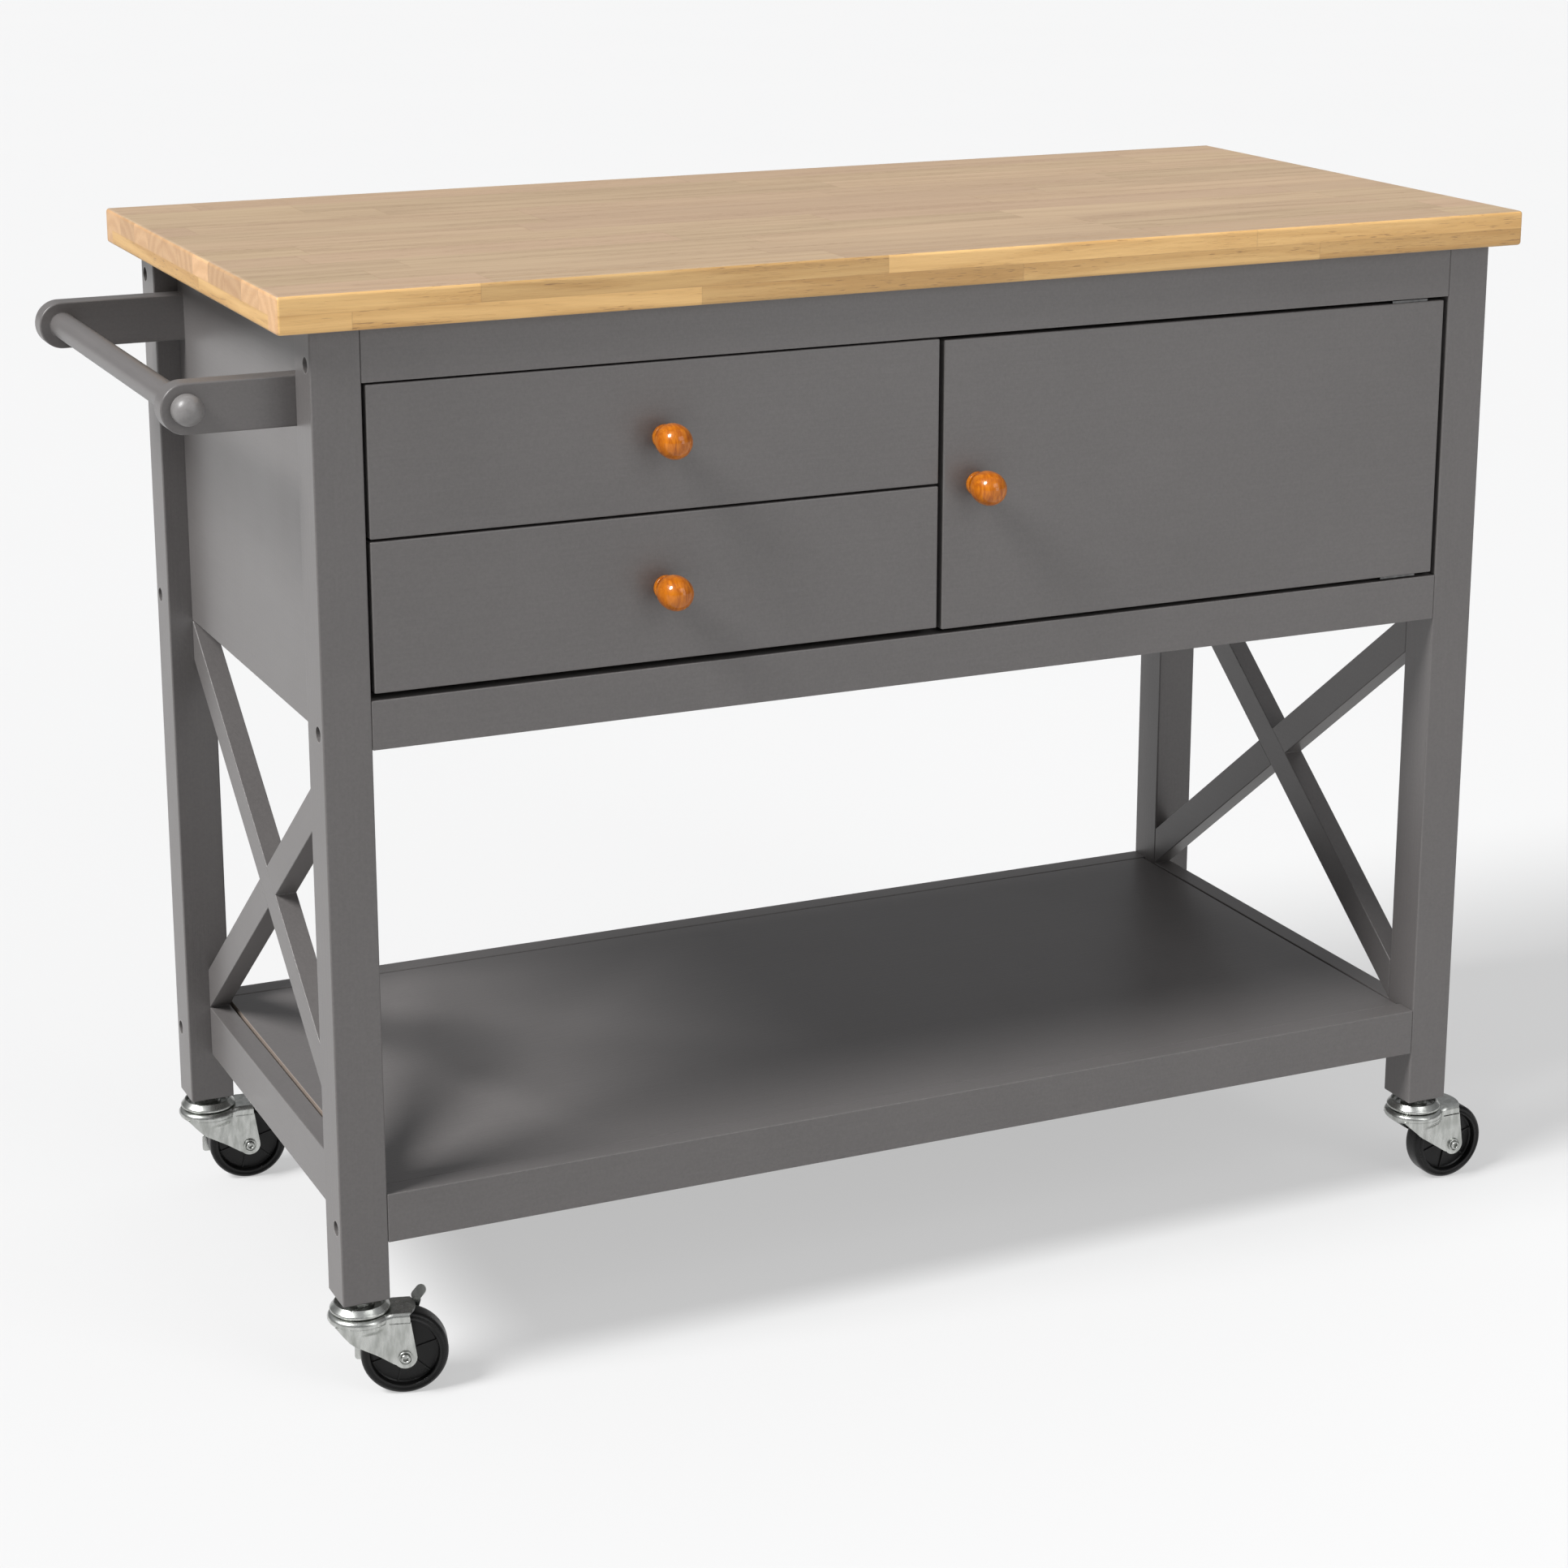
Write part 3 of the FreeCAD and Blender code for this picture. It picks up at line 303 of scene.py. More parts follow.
def block_end(graph):
    """The staves' sawn ends: each has curved rings round a heart of its own, and a tone of its own."""
    _, y, z = graph.split(graph.place)
    rows = stave_rows(graph, y)
    row = graph.math("FLOOR", rows)
    side, depth, tone = graph.chance(row, 7.0, 1.5)
    heart_row = graph.math("ADD", row, graph.total(-0.7, (side, 2.4)))
    across = graph.math("MULTIPLY", graph.math("SUBTRACT", rows, heart_row), STAVE_WIDTH)
    down = graph.math("SUBTRACT", z, graph.total(TOP_LOW.z - HEARTS_BELOW_TOP, (depth, HEARTS_SPREAD)))
    reach = graph.math("SQRT", graph.total(graph.math("MULTIPLY", across, across), (down, down)))
    wobble = graph.noise(0.012, detail=3)
    rings = graph.total(graph.math("DIVIDE", reach, RING_SPACING), (wobble, 0.8))
    rings = graph.math("PINGPONG", rings, 0.5)
    dots = graph.ramp(graph.noise(0.0011, detail=1), 0.60, 0.72)
    colour = graph.blend(graph.ramp(rings, 0.0, 0.5, start=0.0, end=0.45), SAWN_PALE, SAWN_DEEP)
    colour = graph.shade(colour, graph.total(0.84, (tone, 0.34)))
    colour = graph.cover(colour, glue_lines(graph, rows, 0.014, 0.004), 0.30, PORE)
    return graph.cover(colour, dots, 0.22, PORE)


def block_edge(graph, axis, layer, seed):
    """Edge strips along an axis: long golden sticks in layers, finger-jointed end to end."""
    place = graph.split(graph.place)
    rows = graph.math("DIVIDE", graph.math("SUBTRACT", place[Z], TOP_LOW.z), layer)
    draws, joints = sticks(graph, place[axis], rows, EDGE_STICKS, seed)
    streaks, fibres, pores = long_grain(graph, axis, draws)
    colour = graph.blend(graph.ramp(streaks, 0.30, 0.70), EDGE_PALE, EDGE_DEEP)
    colour = graph.shade(colour, graph.total(0.74, (draws[1], 0.26), (fibres, 0.20)))
    seams = graph.math("MAXIMUM", glue_lines(graph, rows, 0.035, 0.010), joints)
    colour = graph.cover(colour, seams, 0.15, PORE)
    return graph.cover(colour, pores, 0.75, PORE)


def butcher_block(name):
    """The whole top: the surface, the sawn ends and the strips on its edges, each by where it is."""
    graph = Graph(name)
    _, y, z = graph.split(graph.place)
    nx, ny, _ = (graph.math("ABSOLUTE", part) for part in graph.split(graph.facing))
    is_front = graph.math("GREATER_THAN", ny, 0.6)
    is_end = graph.math("GREATER_THAN", nx, 0.6)
    strip_depth = BOARD_LOW.y - TOP_LOW.y
    half_board = (TOP_HIGH.y - TOP_LOW.y) / 2 - strip_depth
    from_middle = graph.math("ABSOLUTE", graph.math("SUBTRACT", y, (TOP_LOW.y + TOP_HIGH.y) / 2))
    is_inner = graph.math("LESS_THAN", from_middle, half_board)
    is_end_strip = graph.math("MULTIPLY", graph.math("LESS_THAN", z, BOARD_LOW.z), is_inner)
    top, fibres, pores = block_top(graph)
    front = block_edge(graph, X, (TOP_HIGH.z - TOP_LOW.z) / 2, seed=11.0)
    end_strip = graph.shade(block_edge(graph, Y, BOARD_LOW.z - TOP_LOW.z, seed=17.0), 0.82)
    ends = graph.blend(is_end_strip, block_end(graph), end_strip)
    colour = graph.blend(is_front, top, front)
    colour = graph.blend(is_end, colour, ends)
    colour = graph.cover(colour, graph.edges(0.0022), 0.30, EDGE_DEEP)
    graph.bump((fibres, 0.00012), (pores, 0.00015))
    return graph.finish(colour, graph.total(0.42, (fibres, 0.16)))


def bare_wood(name, axis):
    """Unpainted pale wood for the drawer boxes."""
    graph = Graph(name)
    streaks, fibres, pores = long_grain(graph, axis, (0.3, 0.6, 0.9))
    colour = graph.blend(graph.ramp(streaks, 0.28, 0.74), BARE_PALE, BARE_DEEP)
    colour = graph.shade(colour, graph.total(0.88, (fibres, 0.24)))
    colour = graph.cover(colour, pores, 0.4, PORE)
    graph.bump((fibres, 0.00015))
    return graph.finish(colour, graph.total(0.55, (fibres, 0.15)))


def knob_wood(name):
    """Orange-stained turned wood under clear lacquer."""
    graph = Graph(name)
    streaks = graph.noise((0.003, 0.010, 0.020), detail=4, roughness=0.6, distortion=0.8)
    fibres = graph.noise((0.0006, 0.004, 0.009), detail=3)
    pores = graph.ramp(graph.noise((0.0005, 0.002, 0.006), detail=1), 0.60, 0.70)
    ripple = graph.noise(0.02, detail=1)
    colour = graph.blend(graph.ramp(streaks, 0.30, 0.70), STAINED_PALE, STAINED_DEEP)
    colour = graph.shade(colour, graph.total(0.84, (fibres, 0.30)))
    colour = graph.cover(colour, pores, 0.35, STAINED_PORE)
    graph.bump((fibres, 0.00005), (ripple, 0.0003))
    return graph.finish(colour, graph.total(0.28, (fibres, 0.10)),
                        Specular_IOR_Level=0.12, Coat_Weight=0.6, Coat_Roughness=0.04)


# ---------------------------------------------------------------- metal, rubber and plastic

def metal(name, colour, tarnish, rough):
    """Zinc-plated steel: smudges, fine scratches and a slightly uneven shine."""
    graph = Graph(name)
    smudges = graph.noise((0.006, 0.006, 0.022), detail=4, roughness=0.6)
    scratches = graph.noise((0.0005, 0.0005, 0.012), detail=2)
    ripple = graph.noise(0.006, detail=2)
    base = graph.blend(graph.ramp(smudges, 0.30, 0.74), colour, tarnish)
    graph.bump((scratches, 0.00003), (ripple, 0.00012))
    return graph.finish(base, graph.total(rough - 0.08, (smudges, 0.22), (scratches, 0.08)), Metallic=1.0)


def moulded(name, colour, rough, texture_size, texture_depth):
    """Moulded plastic or rubber: a fine texture, a little dust, and greyer arrises."""
    graph = Graph(name)
    texture = graph.noise(texture_size, detail=3, roughness=0.65)
    dust = graph.noise(0.02, detail=3)
    base = graph.shade(colour, graph.total(0.75, (dust, 0.5)))
    base = graph.cover(base, graph.edges(0.0008), 0.25, (0.05, 0.05, 0.05))
    graph.bump((texture, texture_depth))
    return graph.finish(base, graph.total(rough, (dust, 0.18)), Specular_IOR_Level=0.28)


# ---------------------------------------------------------------- which finish goes where

PAINT_ALONG = [grey_paint(f"grey_paint_{letter}", axis) for axis, letter in enumerate("xyz")]
PAINT_CAP = grey_paint("grey_cap", Y, PAINT_CAPS)
BLOCK = butcher_block("butcher_block")
BARE = bare_wood("bare_wood", X)
KNOB = knob_wood("knob_wood")
STEEL = metal("bright_zinc", colour=(0.56, 0.57, 0.55), tarnish=(0.36, 0.37, 0.35), rough=0.22)
ZINC = metal("dull_zinc", colour=(0.45, 0.45, 0.44), tarnish=(0.32, 0.32, 0.31), rough=0.36)
# Darker zinc for the door's pivot pins and plates: painted shade, since they sit in the dark gaps round the
# door.
PAINTED_SHADE_ZINC = metal("zinc_darkened_as_shade", colour=(0.16, 0.16, 0.16), tarnish=(0.10, 0.10, 0.10), rough=0.36)
TYRE = moulded("black_wheel", (0.0035, 0.0035, 0.0035), rough=0.20,
               texture_size=0.0009, texture_depth=0.00016)
BLACK = moulded("black_plastic", (0.01, 0.01, 0.01), rough=0.40,
                texture_size=0.0006, texture_depth=0.00006)

BY_SLOT = {"butcher_block": BLOCK, "butcher_block_edge": BLOCK, "bare_wood": BARE, "knob_wood": KNOB,
           "cap_plastic": PAINT_CAP, "zinc_steel": ZINC, "caster_steel": STEEL, "wheel_rubber": TYRE,
           "black_plastic": BLACK}
# The door's pivot pins take the darker zinc, a painted shade for the gaps they sit in.
BY_NODE = {"shelf_board": grey_paint("grey_shelf", X, raw_ends=True), "door_pivot_pins": PAINTED_SHADE_ZINC}


def longest_axis(node):
    low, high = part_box(node)
    size = high - low
    return max(range(3), key=lambda axis: size[axis])


def finish_packed_nodes():
    """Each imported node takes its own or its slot's finish. The rest take paint, with its grain lengthwise."""
    slots = {part["node"]: part["material_slot"] for part in frame["record"]["subparts"]}
    for node, thing in frame["nodes"].items():
        material = BY_NODE.get(node) or BY_SLOT.get(slots[node]) or PAINT_ALONG[longest_axis(node)]
        thing.data.materials.clear()
        thing.data.materials.append(material)


# ---------------------------------------------------------------- shapes

def arc(centre, radii, start, end, steps):
    """Points on an arc between two angles in degrees. The radii are one number, or one along each axis."""
    across, up = radii if isinstance(radii, tuple) else (radii, radii)
    turns = (math.radians(start + (end - start) * step / steps) for step in range(steps + 1))
    return [(centre[0] + across * math.cos(turn), centre[1] + up * math.sin(turn)) for turn in turns]


def smooth(value, low, high):
    """0 up to low, 1 from high, and an even S curve between."""
    t = min(max((value - low) / (high - low), 0), 1)
    return t * t * (3 - 2 * t)


def on_line(height, first, second):
    """The x at this height on the straight line through two points of (x, height)."""
    return first[0] + (second[0] - first[0]) * (height - first[1]) / (second[1] - first[1])


def grid(rows, closed=False):
    """Points and faces of a sheet through rows of points of one length."""
    width = len(rows[0])
    points = [point for row in rows for point in row]
    faces = []
    for r in range(len(rows) - 1 + closed):
        here = r * width
        after = (r + 1) % len(rows) * width
        faces += [(here + c, here + c + 1, after + c + 1, after + c) for c in range(width - 1)]
    return points, faces


def turned(profile, sides=72):
    """The profile, points of (radius, height), turned round Z."""
    rows = []
    for side in range(sides):
        angle = math.tau * side / sides
        rows.append([(r * math.cos(angle), r * math.sin(angle), h) for r, h in profile])
    return grid(rows, closed=True)


def prism(outline, low, high):
    """An upright block with this outline."""
    count = len(outline)
    points = [(x, y, z) for z in (low, high) for x, y in outline]
    sides = [(i, (i + 1) % count, (i + 1) % count + count, i + count) for i in range(count)]
    return points, sides + [tuple(range(count)), tuple(range(count, 2 * count))]


def together(*shapes):
    points, faces = [], []
    for some_points, some_faces in shapes:
        start = len(points)
        points += some_points
        faces += [tuple(start + i for i in face) for face in some_faces]
    return points, faces


def moved(shape, matrix):
    points, faces = shape
    return [tuple(matrix @ Vector(point)) for point in points], faces


def clean_mesh(name, points, faces, sharp):
    """A mesh with its doubled points joined and its faces turned outwards, sharp past an angle in degrees."""
    mesh = bpy.data.meshes.new(name)
    mesh.from_pydata(points, [], faces)
    build = bmesh.new()
    build.from_mesh(mesh)
    bmesh.ops.remove_doubles(build, verts=build.verts, dist=1e-6)
    bmesh.ops.recalc_face_normals(build, faces=build.faces)
    build.to_mesh(mesh)
    build.free()
    mesh.shade_smooth()
    mesh.set_sharp_from_angle(angle=math.radians(sharp))
    return mesh


def add_piece(name, shape, where, material, body, nodes, thick=0, bevel=0, sharp=32):
    """Makes an object of a shape in millimetres, set in place by a matrix, that stands for some nodes."""
    points, faces = shape
    mesh = clean_mesh(name, [where @ (Vector(point) * MM) for point in points], faces, sharp)
    piece = bpy.data.objects.new(name, mesh)
    bpy.context.scene.collection.objects.link(piece)
    if thick:
        solid = piece.modifiers.new("thickness", "SOLIDIFY")
        solid.thickness = thick * MM
        solid.offset = 0
        solid.use_even_offset = True
    if bevel:
        rounding = piece.modifiers.new("rounding", "BEVEL")
        rounding.width = bevel * MM
        rounding.segments = 3
        rounding.limit_method = "ANGLE"
        rounding.angle_limit = math.radians(40)
        rounding.harden_normals = True
    mesh.materials.append(material)
    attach(piece, body)
    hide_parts(*nodes)


def middle(node):
    low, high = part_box(node)
    return (low + high) / 2


# Lays something made round Z along -Y: a knob out of its panel, an axle across its fork.
LYING = Matrix.Rotation(math.radians(90), 4, "X")


# ---------------------------------------------------------------- knobs

HEAD_RADIUS = 14.2
HEAD_WIDEST = 21.5
HEAD_BACK = 14.6
HEAD_FRONT = 16.3


def knob_shape():
    """A foot disc with rounded edges, a narrow groove and a full head, a little longer than it is wide."""
    foot = [(9.4, 0)] + arc((9.3, 1.0), 1.0, -90, 0, 3) + arc((9.3, 3.6), (1.0, 1.2), 0, 90, 5)
    groove = [(8.2, 5.1), (7.6, 6.0), (7.5, 7.2)]
    head = []
    steps = 40
    for step in range(1, steps):
        t = -1 + 2 * step / steps
        reach, fullness = (HEAD_BACK, 2.7) if t < 0 else (HEAD_FRONT, 2.15)
        radius = HEAD_RADIUS * (1 - abs(t) ** fullness) ** (1 / fullness)
        head.append((radius, HEAD_WIDEST + reach * t))
    return turned([(0, 0)] + foot + groove + head + [(0, HEAD_WIDEST + HEAD_FRONT)])


def make_knob(node, panel, body):
    centre = middle(node)
    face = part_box(panel)[0].y
    where = Matrix.Translation((centre.x, face, centre.z)) @ LYING
    add_piece(f"turned_{node}", knob_shape(), where, KNOB, body, [node])


# ---------------------------------------------------------------- casters
# A caster's shapes are upright on the floor, round the swivel's axis, with the wheel towards +X.

TRAIL = 35            # from the swivel's axis to the axle
AXLE = 36             # the axle's height, and so the wheel's radius
CHEEK = 16.5          # from the wheel's middle plane to a cheek
EYE = 9.6             # the radius of a cheek's rounded foot, round the axle
EYE_LEFT_AT = 30      # the height where the cheek's rear edge leaves that curve
FOLD_AT = 14.5        # between here and the swivel's axis the cheek spreads outwards
FOLD_LEAN = 0.34
FOLD_SOFTNESS = 3
PAN_RADIUS = 25.4
PAN_LOW = 65
HOOD_TOP = 74.2
HOOD_BEND = 3.2
HOOD_CENTRE = 16.5    # the middle of the arc that the hood's front edge follows
HOOD_RADIUS = 28.5
HOOD_REAR = 24.6      # its sides start on a circle of this radius, by the pan's wall
HOOD_REAR_TOP = 15    # its top starts here, over the pan
OVER_PAN = 71         # the height that parts its sides from its top
HOOD_SUNK = 1.3       # how far its top's start lies lower than the rest
STEEL_THICK = 1.9


def pan_shape():
    """The pressed pan at the top of the fork: a flat middle and a rolled rim."""
    rim = arc((22.2, 69.4), (3.8, 3.5), 90, -50, 14)
    return turned([(6.2, 72.9), (17, 72.9)] + rim + [(23.4, 65.6)])


def cheek_rear(z):
    """The cheek's rear edge: a straight line up from the eye, then flaring back along the pan."""
    foot, knee, top = (29.7, 28), (-6, 52), (-18.8, PAN_LOW)
    return on_line(z, foot, knee) if z < knee[1] else on_line(z, knee, top)


def cheek_front(z):
    return on_line(z, (39, 75.2), (44.5, 37.3))


def cheek_flare(x, z):
    """How far the cheek stands out from its flat part: folded along an upright line, round under the pan."""
    round_pan = max(math.sqrt(max(PAN_RADIUS ** 2 - x * x, 0)) - CHEEK, 0)
    past = FOLD_AT - x
    folded = min(FOLD_LEAN * (math.hypot(past, FOLD_SOFTNESS) + past) / 2, round_pan)
    share = smooth(z, 58, PAN_LOW + 1)
    return folded * (1 - share) + round_pan * share


def cheek_shape(side):
    """One side of the fork: flat round the axle, and spreading to meet the round pan above."""
    heights = [AXLE - EYE * math.cos(math.radians(turn)) for turn in range(0, 100, 10)]
    heights += range(AXLE + 2, PAN_LOW + 3)
    columns = 24
    rows = []
    for z in heights:
        half_eye = math.sqrt(max(EYE ** 2 - (z - AXLE) ** 2, 0))
        rear = max(cheek_rear(z), TRAIL - half_eye) if z < EYE_LEFT_AT else cheek_rear(z)
        front = TRAIL + half_eye if z < AXLE + 1 else cheek_front(z)
        row = []
        for column in range(columns + 1):
            x = rear + (front - rear) * column / columns
            row.append((x, side * (CHEEK + cheek_flare(x, z)), z))
        rows.append(row)
    return grid(rows)


def hood_shape():
    """The fork's bent top over the wheel: down one side, across with rounded bends, and down the other."""
    across = [(CHEEK, PAN_LOW + 1), (CHEEK, 69)]
    across += arc((CHEEK - HOOD_BEND, HOOD_TOP - HOOD_BEND), HOOD_BEND, 0, 90, 6)
    across += [(9, HOOD_TOP), (4.5, HOOD_TOP), (0, HOOD_TOP)]
    across += [(-y, z) for y, z in reversed(across[:-1])]
    columns = 24
    rows = []
    for column in range(columns + 1):
        row = []
        for y, z in across:
            nose = HOOD_CENTRE + math.sqrt(HOOD_RADIUS ** 2 - y * y)
            front = nose - 0.1 if z > HOOD_TOP - 1 else min(cheek_front(z), nose)
            rear = math.sqrt(HOOD_REAR ** 2 - y * y) if z < OVER_PAN else HOOD_REAR_TOP
            x = rear + (front - rear) * column / columns
            sunk = 0 if z < OVER_PAN else HOOD_SUNK * (1 - smooth(x, 20, 27))
            row.append((x, y, z - sunk))
        rows.append(row)
    return grid(rows)


def stem_shape():
    """The round cup above the fork, with a rolled rim, a lip and a raised collar, and the lock nut on it."""
    rim = arc((22.6, 76.6), (2.2, 2.1), -90, 50, 9)
    lip = arc((20.6, 81.2), 0.9, 20, 180, 8)
    floor_and_collar = [(19.4, 78.2), (17.6, 77.0), (12.2, 77.0), (11.6, 79.6), (10.6, 80.4), (6.2, 80.4)]
    cup = turned([(6.4, 74.5)] + rim + lip + floor_and_collar)
    nut_across_flats = 17
    nut = prism(arc((0, 0), nut_across_flats / math.sqrt(3), 0, 300, 5), 80.6, 86.6)
    return together(cup, nut)


def axle_shape():
    """A pan-headed axle: a flat rim, a rounded head and a round socket, at both ends."""
    head = [(0, 0.8), (1.8, 0.9), (2.0, 3.0)] + arc((2.9, 3.0), (0.9, 0.8), 170, 20, 5)
    head += [(4.2, 0.8), (4.8, 0.8)] + arc((5.4, 1.5), 0.6, 170, 0, 6) + [(6.0, 0.05), (0, 0.05)]
    shapes = []
    for side in (1, -1):
        outwards = Matrix.Rotation(math.radians(-90 * side), 4, "X")
        on_cheek = Matrix.Translation((TRAIL, side * 17.5, AXLE))
        shapes.append(moved(turned(head, 36), on_cheek @ outwards))
    rod = turned([(4.0, -15), (4.0, 15)], 24)
    shapes.append(moved(rod, Matrix.Translation((TRAIL, 0, AXLE)) @ LYING))
    return together(*shapes)


def wheel_side(side):
    """Half of the wheel's turned profile: hub, deep dish, ridge and rounded shoulder."""
    half = [(4.3, 12.1), (8.4, 12.1), (9.0, 11.6), (9.6, 5.2), (11, 4.4), (26.6, 4.4), (27.6, 5.2)]
    half += [(28.2, 9.2)] + arc((29.4, 9.6), (1.0, 0.8), 180, 60, 5) + [(31.0, 9.4), (32.2, 9.6)]
    half += arc((32.4, 5.6), (3.6, 4.6), 80, 8, 7) + [(AXLE, 3.0)]
    return [(r, side * y) for r, y in half]


def wheel_shape():
    """The wheel, with six low ribs in the dish on each side."""
    rib_count = 6
    rib = [(9, -0.4), (28.3, -0.4), (28.3, 0.4), (9, 0.4)]
    shapes = [turned(wheel_side(1) + wheel_side(-1)[::-1], 96)]
    for count in range(rib_count):
        turn = Matrix.Rotation(math.tau * count / rib_count + 0.3, 4, "Z")
        for low, high in ((4.0, 5.6), (-5.6, -4.0)):
            shapes.append(moved(prism(rib, low, high), turn))
    return moved(together(*shapes), Matrix.Translation((TRAIL, 0, AXLE)) @ LYING)


def lever_plate():
    """The brake lever's flat part: an eye round the axle, an arm up to the pad, one down to the release."""
    eye, arm_angle, arm_length, arm_tip = 8, 72.7, 38, 4
    lean = math.radians(arm_angle)
    tip = (arm_length * math.cos(lean), arm_length * math.sin(lean))
    corner, rear, inner, foot, top = 3, -37, -30, -10.5, -0.5
    outline = arc((rear, foot), corner, 180, 270, 4) + arc((inner, foot), corner, 270, 360, 4)
    outline += [(inner + corner, foot + 2)] + arc((0, 0), eye, 219.5, 402.6, 16)
    outline += arc(tip, arm_tip, arm_angle - 90, arm_angle + 90, 8)
    outline += arc((0, 0), eye, 102.5, 159.5, 6) + [(inner + corner, top)]
    outline += arc((inner, top), corner, 20, 90, 4) + arc((rear, top), corner, 90, 180, 4)
    upright = Matrix(((1, 0, 0, TRAIL), (0, 0, 1, 0), (0, 1, 0, AXLE), (0, 0, 0, 1)))
    return moved(prism(outline, 12.6, 14.0), upright)


def lever_pad():
    """The oval pad at the arm's tip, turned a little out of the plate's plane for the foot to press."""
    length, width, half_thick = 15, 9, 0.7
    tilt, lean = 50, -28
    outline = arc((length / 2 - width / 2, 0), width / 2, -90, 90, 8)
    outline += arc((width / 2 - length / 2, 0), width / 2, 90, 270, 8)
    turn = Matrix.Rotation(math.radians(-tilt), 4, "Y") @ Matrix.Rotation(math.radians(90 + lean), 4, "X")
    place = Matrix.Translation((TRAIL + 13.6, 13.3, AXLE + 42.6))
    return moved(prism(outline, -half_thick, half_thick), place @ turn)


def make_caster(corner):
    """The new fork, axle, wheel and brake lever of one caster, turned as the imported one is."""
    leg, wheel = middle(f"leg_{corner}"), middle(f"caster_wheel_{corner}")
    turn = math.atan2(wheel.y - leg.y, wheel.x - leg.x)
    where = Matrix.Translation((leg.x, leg.y, 0)) @ Matrix.Rotation(turn, 4, "Z")
    swivel = f"swivel_{corner}"
    fork = together(pan_shape(), cheek_shape(1), cheek_shape(-1), hood_shape())
    add_piece(f"pressed_fork_{corner}", fork, where, STEEL, swivel,
              [f"caster_fork_{corner}"], thick=STEEL_THICK, bevel=0.35, sharp=50)
    add_piece(f"axle_heads_{corner}", axle_shape(), where, STEEL, swivel,
              [f"caster_axle_{corner}"])
    add_piece(f"moulded_wheel_{corner}", wheel_shape(), where, TYRE, f"wheel_{corner}",
              [f"caster_wheel_{corner}"])
    if f"brake_lever_{corner}" in frame["nodes"]:
        lever = together(lever_plate(), lever_pad())
        add_piece(f"pressed_lever_{corner}", lever, where, STEEL, f"brake_{corner}",
                  [f"brake_lever_{corner}"], bevel=0.3)


def make_stems(corners):
    """The four cups and nuts, each under the middle of its leg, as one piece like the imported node."""
    stems = []
    for corner in corners:
        leg = middle(f"leg_{corner}")
        stems.append(moved(stem_shape(), Matrix.Translation((leg.x / MM, leg.y / MM, 0))))
    add_piece("pressed_stems", together(*stems), Matrix.Identity(4), STEEL, "frame",
              ["caster_stems"])


# ---------------------------------------------------------------- floor, light and camera

FLOOR_REACH = 60
FLOOR = (0.30, 0.30, 0.30)
FLOOR_DEEP = (0.295, 0.295, 0.295)
FLOOR_GLOW = 0.47
SKY_COLOUR = (0.97, 0.98, 1.0, 1)
SKY_LOW = 0.13
SKY_HIGH = 0.46
SKY_SEEN = 0.95
SENSOR = 36
LENS = 78.6
CAMERA_PLACE = (-1.2271, -2.6926, 1.3244)
CAMERA_DOWN = 14.792
CAMERA_RIGHT = 24.385
CAMERA_SHIFT = -0.1


def make_floor():
    """A wide pale floor that glows a little, so that the shadows on it stay faint."""
    corners = [(x * FLOOR_REACH, y * FLOOR_REACH, 0) for x, y in ((-1, -1), (1, -1), (1, 1), (-1, 1))]
    mesh = bpy.data.meshes.new("floor")
    mesh.from_pydata(corners, [], [(0, 1, 2, 3)])
    floor = bpy.data.objects.new("floor", mesh)
    bpy.context.scene.collection.objects.link(floor)
    graph = Graph("pale_floor")
    colour = graph.blend(graph.noise(0.8, detail=1), FLOOR, FLOOR_DEEP)
    material = graph.finish(colour, 0.9, Specular_IOR_Level=0, Emission_Color=(1, 1, 1, 1),
                            Emission_Strength=FLOOR_GLOW)
    mesh.materials.append(material)


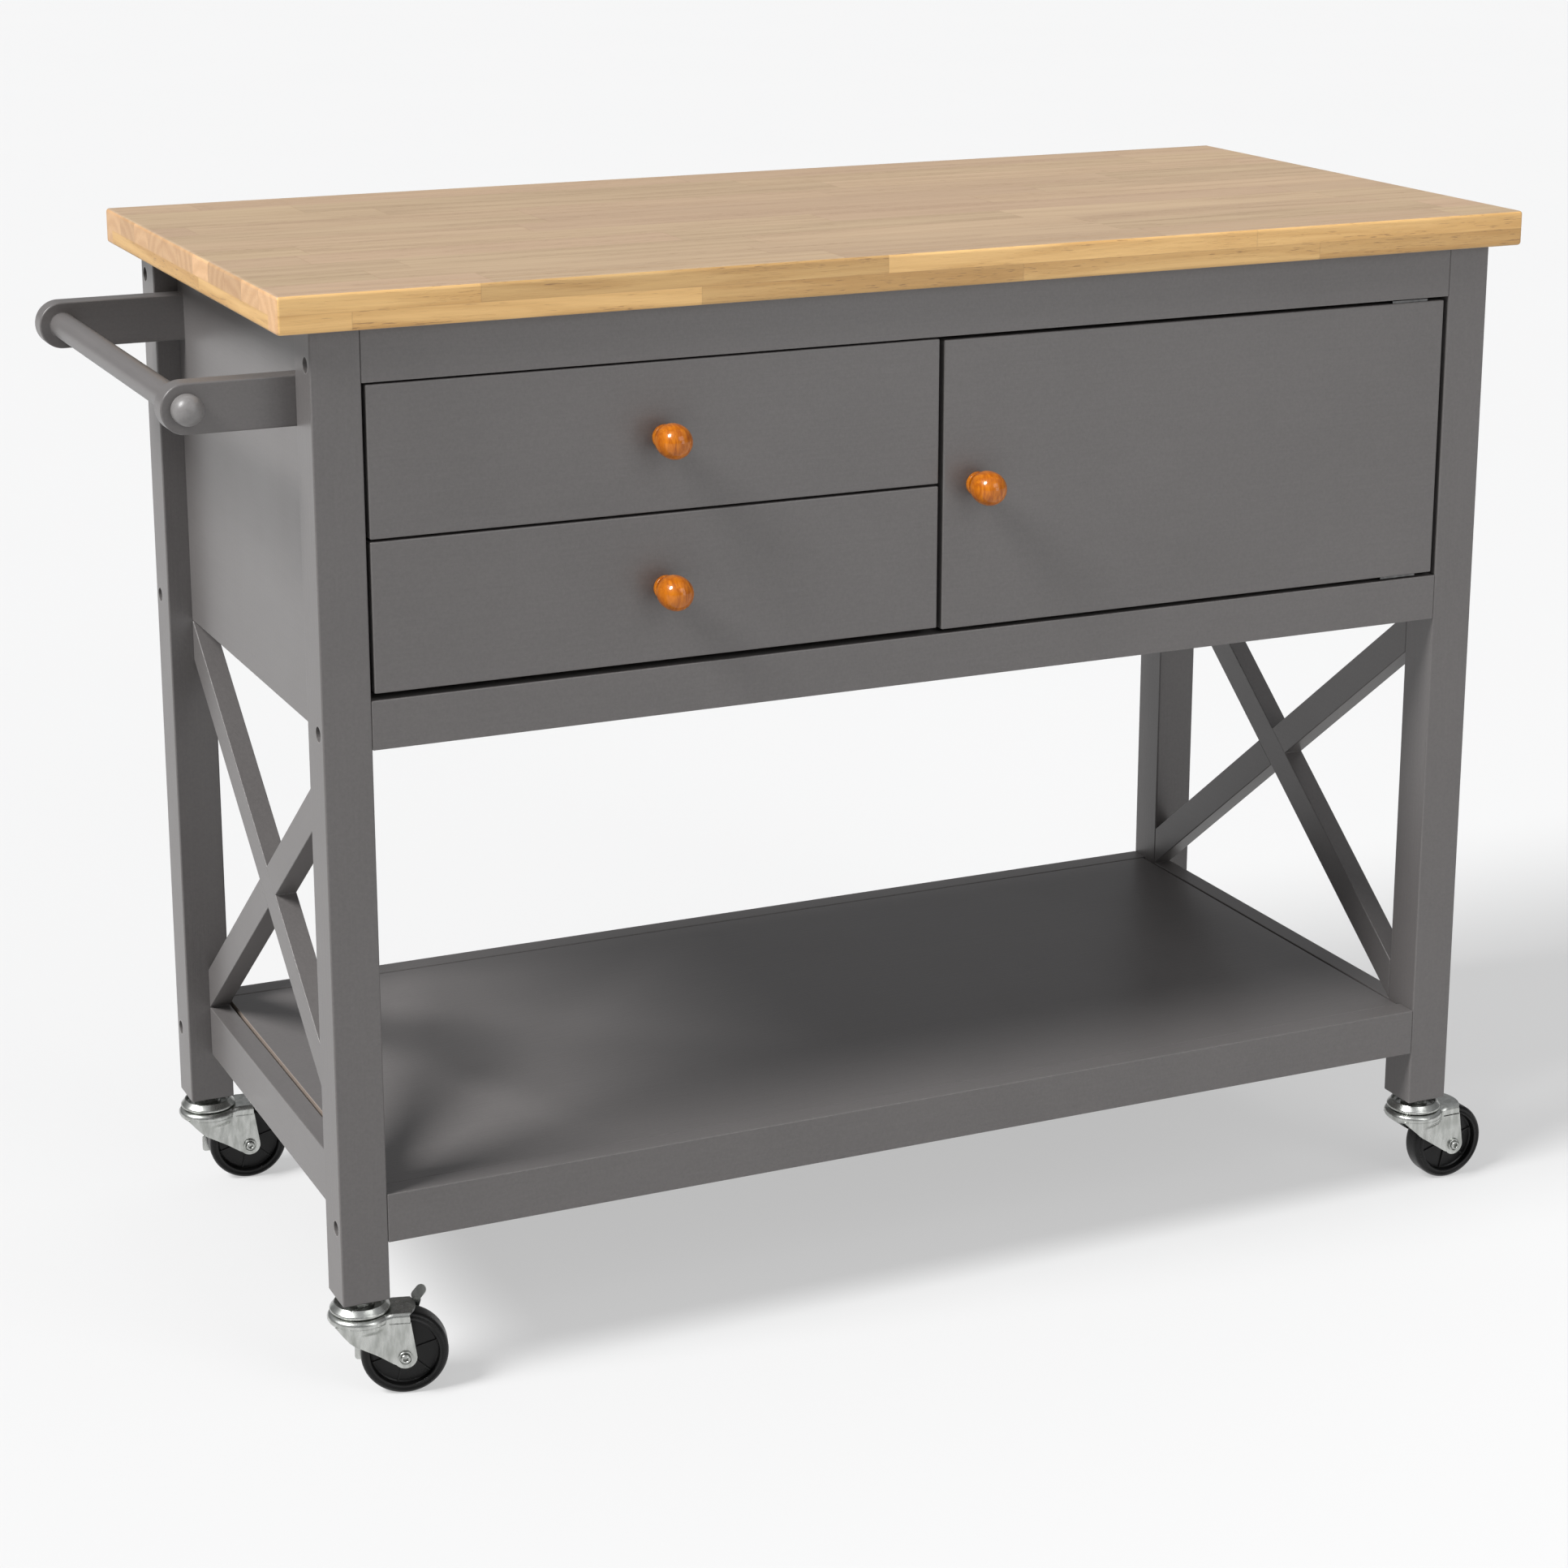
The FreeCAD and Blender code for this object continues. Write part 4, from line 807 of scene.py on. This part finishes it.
def make_sky():
    """A sky that lights the object more from above than from the horizon, and looks evenly pale behind it."""
    world = bpy.data.worlds.new("studio")
    world.use_nodes = True
    tree = world.node_tree
    background = tree.nodes["Background"]
    background.inputs["Color"].default_value = SKY_COLOUR
    height = tree.nodes.new("ShaderNodeSeparateXYZ")
    tree.links.new(tree.nodes.new("ShaderNodeTexCoord").outputs["Generated"], height.inputs[0])
    sky = tree.nodes.new("ShaderNodeMapRange")
    for name, value in (("From Min", 0.0), ("From Max", 0.7), ("To Min", SKY_LOW), ("To Max", SKY_HIGH)):
        sky.inputs[name].default_value = value
    tree.links.new(height.outputs["Z"], sky.inputs["Value"])
    seen = tree.nodes.new("ShaderNodeMix")
    tree.links.new(tree.nodes.new("ShaderNodeLightPath").outputs["Is Camera Ray"], seen.inputs["Factor"])
    tree.links.new(sky.outputs[0], seen.inputs["A"])
    seen.inputs["B"].default_value = SKY_SEEN
    tree.links.new(seen.outputs[0], background.inputs["Strength"])
    bpy.context.scene.world = world


def add_sun(name, towards, strength, softness):
    """An even, soft light from one side."""
    light = bpy.data.lights.new(name, "SUN")
    light.energy = strength
    light.angle = math.radians(softness)
    lamp = bpy.data.objects.new(name, light)
    lamp.rotation_euler = Vector(towards).to_track_quat("-Z", "Y").to_euler()
    bpy.context.scene.collection.objects.link(lamp)


def add_softbox(name, place, target, side, power):
    """A square soft light aimed at a point."""
    light = bpy.data.lights.new(name, "AREA")
    light.size = side
    light.energy = power
    lamp = bpy.data.objects.new(name, light)
    lamp.location = place
    lamp.rotation_euler = (Vector(target) - Vector(place)).to_track_quat("-Z", "Y").to_euler()
    bpy.context.scene.collection.objects.link(lamp)


def light_scene():
    make_sky()
    add_sun("key_left", towards=(1.0, 0.14, -1.08), strength=4.9, softness=22)
    add_softbox("front_high", place=(0.85, -2.9, 2.3), target=(0.10, 0.0, 0.70), side=1.7, power=23)
    add_softbox("front_low", place=(1.30, -3.0, 0.95), target=(0.05, 0.0, 0.72), side=0.9, power=7)
    bpy.context.scene.view_settings.view_transform = "Standard"


def add_camera():
    """Stands at the front left, a little above the top, with a long lens."""
    lens = bpy.data.cameras.new("view")
    lens.sensor_width = SENSOR
    lens.lens = LENS
    lens.shift_y = CAMERA_SHIFT
    lens.clip_end = 3 * FLOOR_REACH
    camera = bpy.data.objects.new("view", lens)
    camera.location = CAMERA_PLACE
    camera.rotation_euler = (math.radians(90 - CAMERA_DOWN), 0, math.radians(-CAMERA_RIGHT))
    bpy.context.scene.collection.objects.link(camera)
    bpy.context.scene.camera = camera


# ---------------------------------------------------------------- build

CORNERS = ("front_left", "front_right", "back_left", "back_right")

finish_packed_nodes()
for drawer in ("upper_drawer", "lower_drawer"):
    make_knob(f"{drawer}_knob", f"{drawer}_front", drawer)
make_knob("door_knob", "door_panel", "door")
for corner in CORNERS:
    make_caster(corner)
make_stems(CORNERS)
make_floor()
light_scene()
add_camera()
